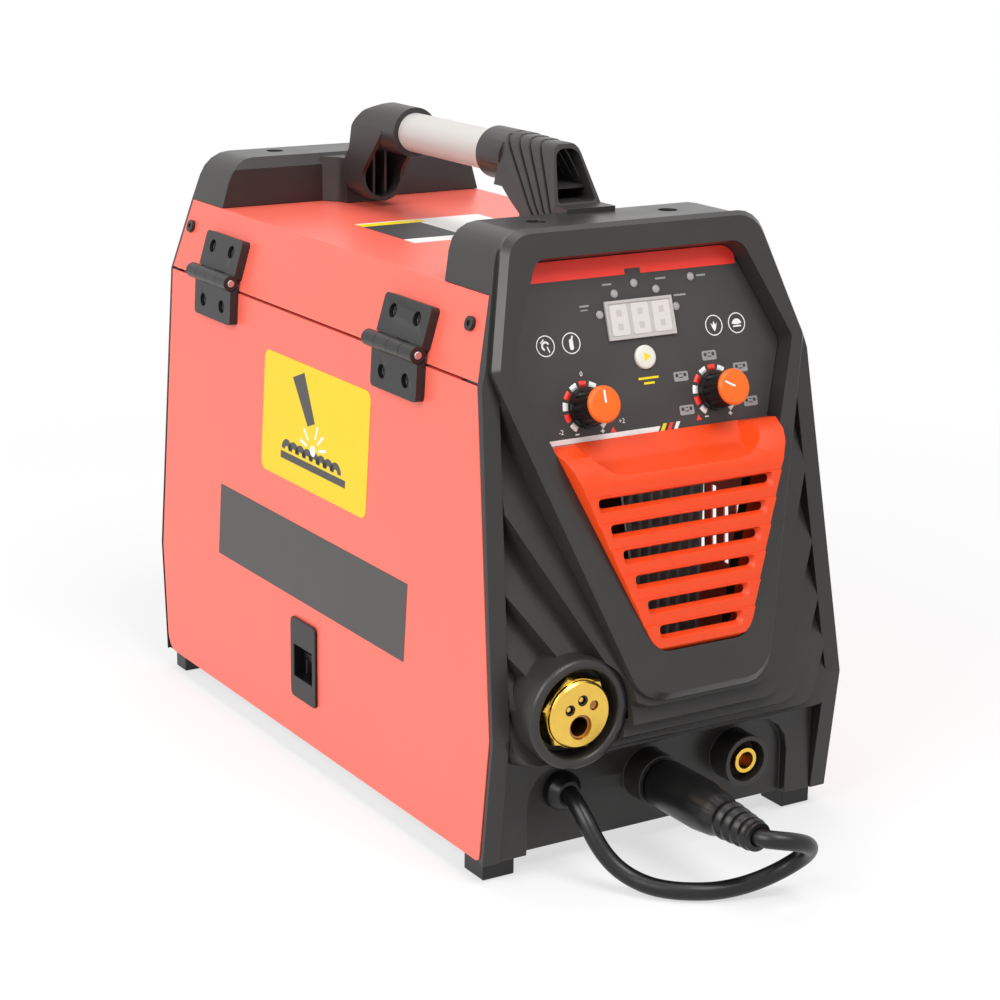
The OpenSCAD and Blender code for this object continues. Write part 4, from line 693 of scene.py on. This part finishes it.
printed("iconLines", rings + torchIcon + gloveIcon + flameIcon + maskIcon, "printWhite")

# Stripe along the panel's foot, and the three slants after it
stripe = [(-63.4, -38.1), (1.0, -38.1), (2.6, -35.6), (-62.2, -35.6)]
slant = {"places": {"Yellow": 2.4, "Red": 6.4, "White": 10.4}, "foot": -38.1, "top": -34.6, "width": 2.2}
printed("footStripe", [stripe], "printWhite")
for shade, x in slant["places"].items():
    w = slant["width"]
    outline = [(x, slant["foot"]), (x + w, slant["foot"]), (x + 2 * w, slant["top"]), (x + w, slant["top"])]
    printed("slant" + shade, [outline], "print" + shade)

# Short bars in place of words: middle, width and height
wordBars = {"button": [(0.2, -11.4, 12.0, 1.1), (0.2, -13.9, 6.2, 1.1)],
            "lamp": [(-30.6, 27.0, 5.4, 0.9), (-31, 25.0, 4.2, 0.6), (-15.6, 36.4, 5.4, 0.9),
                     (16.4, 36.8, 6.2, 0.9), (26.4, 27.6, 7.2, 0.9), (41.0, 36.3, 5.4, 0.9)]}
printed("buttonWords", [bar(*b) for b in wordBars["button"]], "printYellow")
printed("lampWords", [bar(*b) for b in wordBars["lamp"]], "printGrey")
print("panel prints ready")

# Display: its well, and each digit's block and hollows, with the levels of each from the front
display = {"middle": (0.5, 18.3), "well": (36.6, 16.0), "digitX": 0.6, "gap": 12.6,
           "block": (10.2, 15.2, 1.2), "hollow": (3.0, 3.2), "hollowAt": 3.4, "front": -9.88,
           "Well": (-0.59, -0.5), "Blocks": (-0.5, -0.3), "Hollows": (-0.35, -0.25)}


def makeDisplay():
    x, y = display["middle"]
    centres = [display["digitX"] + display["gap"] * (i - 1) for i in range(3)]
    hollows = [bar(c, y + side * display["hollowAt"], *display["hollow"])
               for c in centres for side in (-1, 1)]
    layers = {"Well": ([bar(x, y, *display["well"])], "displayPale"),
              "Blocks": ([roundedBar(c, y, *display["block"]) for c in centres], "digitPale"),
              "Hollows": (hollows, "digitHollow")}
    for part, (outlines, finish) in layers.items():
        low, high = (display["front"] + level for level in display[part])
        plates("display" + part, outlines, low, high, finish, "machine", "display")


makeDisplay()
arrow = {"outline": [(-1.5, -3.3), (2.5, -1), (-1.5, 1.3)], "heights": (-9.84, -9.7)}
plates("buttonArrow", [arrow["outline"]], *arrow["heights"], "printYellow", "mode_button", "button_white")
knobLine = {"bar": (0, 3.6, 1.0, 6.4, 0.45), "heights": (6.45, 6.62), "turns": {"left": 0, "right": 62}}


def knobMark(side, cx):
    turn = Matrix.Rotation(math.radians(knobLine["turns"][side]), 4, "Z")
    plates(side + "KnobMark", [roundedBar(*knobLine["bar"])], *knobLine["heights"], "printWhite",
           side + "_knob", "knob_orange", faceAt @ placed((cx, panel["dialV"], 0), turn))


knobMark("left", -panel["dialX"])
knobMark("right", panel["dialX"])
print("display and knobs ready")

# Plates on the door and the cover
doorSheet = {"foot": (-106, 0, 77.5), "inset": 9, "height": 167.5}
doorLean = math.atan(doorSheet["inset"] / doorSheet["height"])
doorSin, doorCos = math.sin(doorLean), math.cos(doorLean)
doorTurn = Matrix(((0, doorSin, -doorCos), (-1, 0, 0), (0, doorCos, doorSin))).to_4x4()
doorAt = placed(doorSheet["foot"], doorTurn)
# Each plate of the door: middle, width, height and corner radius; the heights of three layers
doorPlates = {"badge": (-12, 110.5, 120, 67, 5), "bar": (-14, 34.9, 216, 41, 0.6)}
layer = {"plate": (0.02, 0.2), "dark": (0.2, 0.26), "light": (0.26, 0.32)}
# The badge's drawing, from its middle: a nozzle over a row of half rings on a bar, with rays
drawing = {"nozzle": [(-26, 24), (-13, 29), (1, 4), (-7, 1)], "beads": 8, "beadFirst": -30, "beadStep": 8,
           "beadV": -17.5, "beadRadii": (2.6, 6.4), "beadSweep": (8, 172, 8), "base": (-20.5, 74, 4),
           "sparkV": -11, "spark": (6, 6, 2.9), "ray": (11, 8, 1.6), "rays": (12, 42, 72, 138, 168)}


def onDoor(name, outlines, heights, finish):
    plates(name, outlines, *heights, finish, "door", "red_sheet", doorAt)


def makeDoorPlates():
    onDoor("badgeYellow", [roundedBar(*doorPlates["badge"])], layer["plate"], "plateYellow")
    onDoor("badgeBar", [roundedBar(*doorPlates["bar"])], layer["plate"], "barCharcoal")
    x, y = doorPlates["badge"][:2]
    nozzle = [(x + a, y + b) for a, b in drawing["nozzle"]]
    beads = [band(x + drawing["beadFirst"] + drawing["beadStep"] * i, y + drawing["beadV"],
                  *drawing["beadRadii"], *drawing["beadSweep"]) for i in range(drawing["beads"])]
    drop, width, height = drawing["base"]
    onDoor("badgeTorch", [nozzle, bar(x, y + drop, width, height)] + beads, layer["dark"], "barCharcoal")
    sparkY = y + drawing["sparkV"]
    out, length, thick = drawing["ray"]
    rays = []
    for angle in drawing["rays"]:
        a = math.radians(angle)
        rays.append(bar(x + out * math.cos(a), sparkY + out * math.sin(a), length, thick, angle))
    onDoor("badgeRays", [roundedBar(x, sparkY, *drawing["spark"])] + rays, layer["light"], "printWhite")


makeDoorPlates()
# Plates on the cover's top: left, front, right, rear and height in mm
coverTop = 285.5
topPlates = {"White": (-44, 3, 35, 70, 0.08), "Black": (-44, 15, -8, 60, 0.14),
             "Yellow": (-44, 60, -4, 68, 0.14)}
for shade, (x0, y0, x1, y1, level) in topPlates.items():
    plates("topPlate" + shade, [[(x0, y0), (x1, y0), (x1, y1), (x0, y1)]], 0.02, level, "print" + shade,
           "machine", "red_sheet", placed((0, 0, coverTop)))
print("plates ready")

# Screws in the hinge wells, and the pins of the torch socket
shoulder = {"inset": 12, "height": 40.5}
sheetLean = {"shoulder": math.atan(shoulder["inset"] / shoulder["height"]), "door": doorLean}
hinge = {"line": (-97, 0, 245), "places": (-76, 133), "spread": 50 / 4.2, "shift": -2, "floor": 1.9,
         "wells": {"shoulder": 21.0, "door": -9.0}}
screwSize = {"Head Radius": 3.3 * mm, "Head Height": 1.4 * mm, "Socket Radius": 1.5 * mm}
screwHeads = screwTree()


def leafAt(lean):  # X up along the sheet, Z out of it
    s, c = math.sin(lean), math.cos(lean)
    turn = Matrix(((s, 0, -c), (0, 1, 0), (c, 0, s))).to_4x4()
    return placed(hinge["line"], turn)


for sheet, body in (("shoulder", "machine"), ("door", "door")):
    wells = [(hinge["wells"][sheet], place + hinge["shift"] + side * hinge["spread"], hinge["floor"])
             for place in hinge["places"] for side in (-1, 1)]
    screwHeads.make(sheet + "HingeScrews", screwSize, "blackSteel", body, "black_steel",
                    leafAt(sheetLean[sheet]), wells)

torch = {"front": -197, "pins": [(-6.1, 3.4), (1, 7.2)], "pin": 1.2, "sleeve": (1.9, 2.72),
         "plug": (7.5, 3.7, 2.2), "bore": (0, -6.2), "liner": (4.9, 6.2), "floor": -12.8,
         "linerEnd": -30, "pinTop": -1.6, "sleeveTop": -0.5, "plugTop": -1.2, "linerTop": -1.4}
torchAt = placed((torchAxis[0], torch["front"], torchAxis[1]), Matrix.Rotation(math.pi / 2, 4, "X"))


def disc(x, y, r):  # sixteen corners
    return arc(x, y, r, 0, 337.5, 15)


def inTorch(name, outlines, low, high, finish, slot="brass"):
    plates(name, outlines, low, high, finish, "machine", slot, torchAt)


pins = [disc(x, y, torch["pin"]) for x, y in torch["pins"]]
sleeves = [part for x, y in torch["pins"] for part in hoop(x, y, *torch["sleeve"])]
liner = hoop(*torch["bore"], *torch["liner"])
inTorch("torchPins", pins, torch["floor"], torch["pinTop"], "brass")
inTorch("torchPinSleeves", sleeves, torch["floor"], torch["sleeveTop"], "shellBlack", "black_plastic")
inTorch("torchPlug", [disc(*torch["plug"])], torch["floor"], torch["plugTop"], "brassDark")
inTorch("torchLiner", liner, torch["linerEnd"], torch["linerTop"], "brassDark")
print("screws and pins ready")

# Floor and light; near and far are the ends of the shadow's fade, in metres
stage = {"half": 8, "drop": 0.0005, "near": 0.30, "far": 0.9, "seenNear": 0.62, "floor": (0.9, 0.9, 0.9),
         "world": 0.32}


def floorFinish():  # white to the camera, with the soft shadow kept near the machine
    f = Finish("floorPale", stage["floor"], 0.9)
    reach = f.node("ShaderNodeVectorMath", {"operation": "LENGTH"}, {0: f.place()}, "Value")
    fade = {0: reach, 1: stage["near"], 2: stage["far"], 3: stage["seenNear"], 4: 1.0}
    share = f.node("ShaderNodeMapRange", {}, fade)
    white = f.node("ShaderNodeEmission", {}, {"Color": (1, 1, 1, 1), "Strength": 1.0})
    f.close(f.seen() * share, Wire(f, f.shader.outputs[0]), white, "Material Output")
    return f.material


def makeStage():
    bm = bmesh.new()
    bmesh.ops.create_grid(bm, x_segments=1, y_segments=1, size=stage["half"])
    mesh = bpy.data.meshes.new("floor")
    bm.to_mesh(mesh)
    bm.free()
    floor = bpy.data.objects.new("floor", mesh)
    floor.location.z = -stage["drop"]
    scene.collection.objects.link(floor)
    mesh.materials.append(floorFinish())
    world = bpy.data.worlds.new("studio")
    scene.world = world
    world.use_nodes = True
    sky = Shading(world.node_tree)
    glow = sky.tree.nodes["Background"]
    glow.inputs["Color"].default_value = (1, 1, 1, 1)
    glow.inputs["Strength"].default_value = stage["world"]
    shown = sky.node("ShaderNodeBackground", {}, {"Color": (1, 1, 1, 1)})
    sky.close(sky.seen(), Wire(sky, glow.outputs[0]), shown, "World Output")


# Lamps: place, what each looks at and size in metres, power in watts
lamps = {
    "leftSoft": {"place": (-1.8, -0.5, 1.3), "aim": (0, 0, 0.15), "size": 1.3, "power": 31},
    "frontSoft": {"place": (0.1, -1.3, 2.1), "aim": (0, -0.1, 0.18), "size": 1.1, "power": 29},
    "topSoft": {"place": (0.0, 0.5, 2.2), "aim": (0, 0, 0.2), "size": 1.4, "power": 15},
}


def makeLamps():
    for name, c in lamps.items():
        data = bpy.data.lights.new(name, "AREA")
        data.size = c["size"]
        data.energy = c["power"]
        lamp = bpy.data.objects.new(name, data)
        lamp.location = c["place"]
        lamp.rotation_euler = (Vector(c["aim"]) - Vector(c["place"])).to_track_quat("-Z", "Y").to_euler()
        scene.collection.objects.link(lamp)


makeStage()
makeLamps()
scene.view_settings.view_transform = "Standard"
print("stage ready")
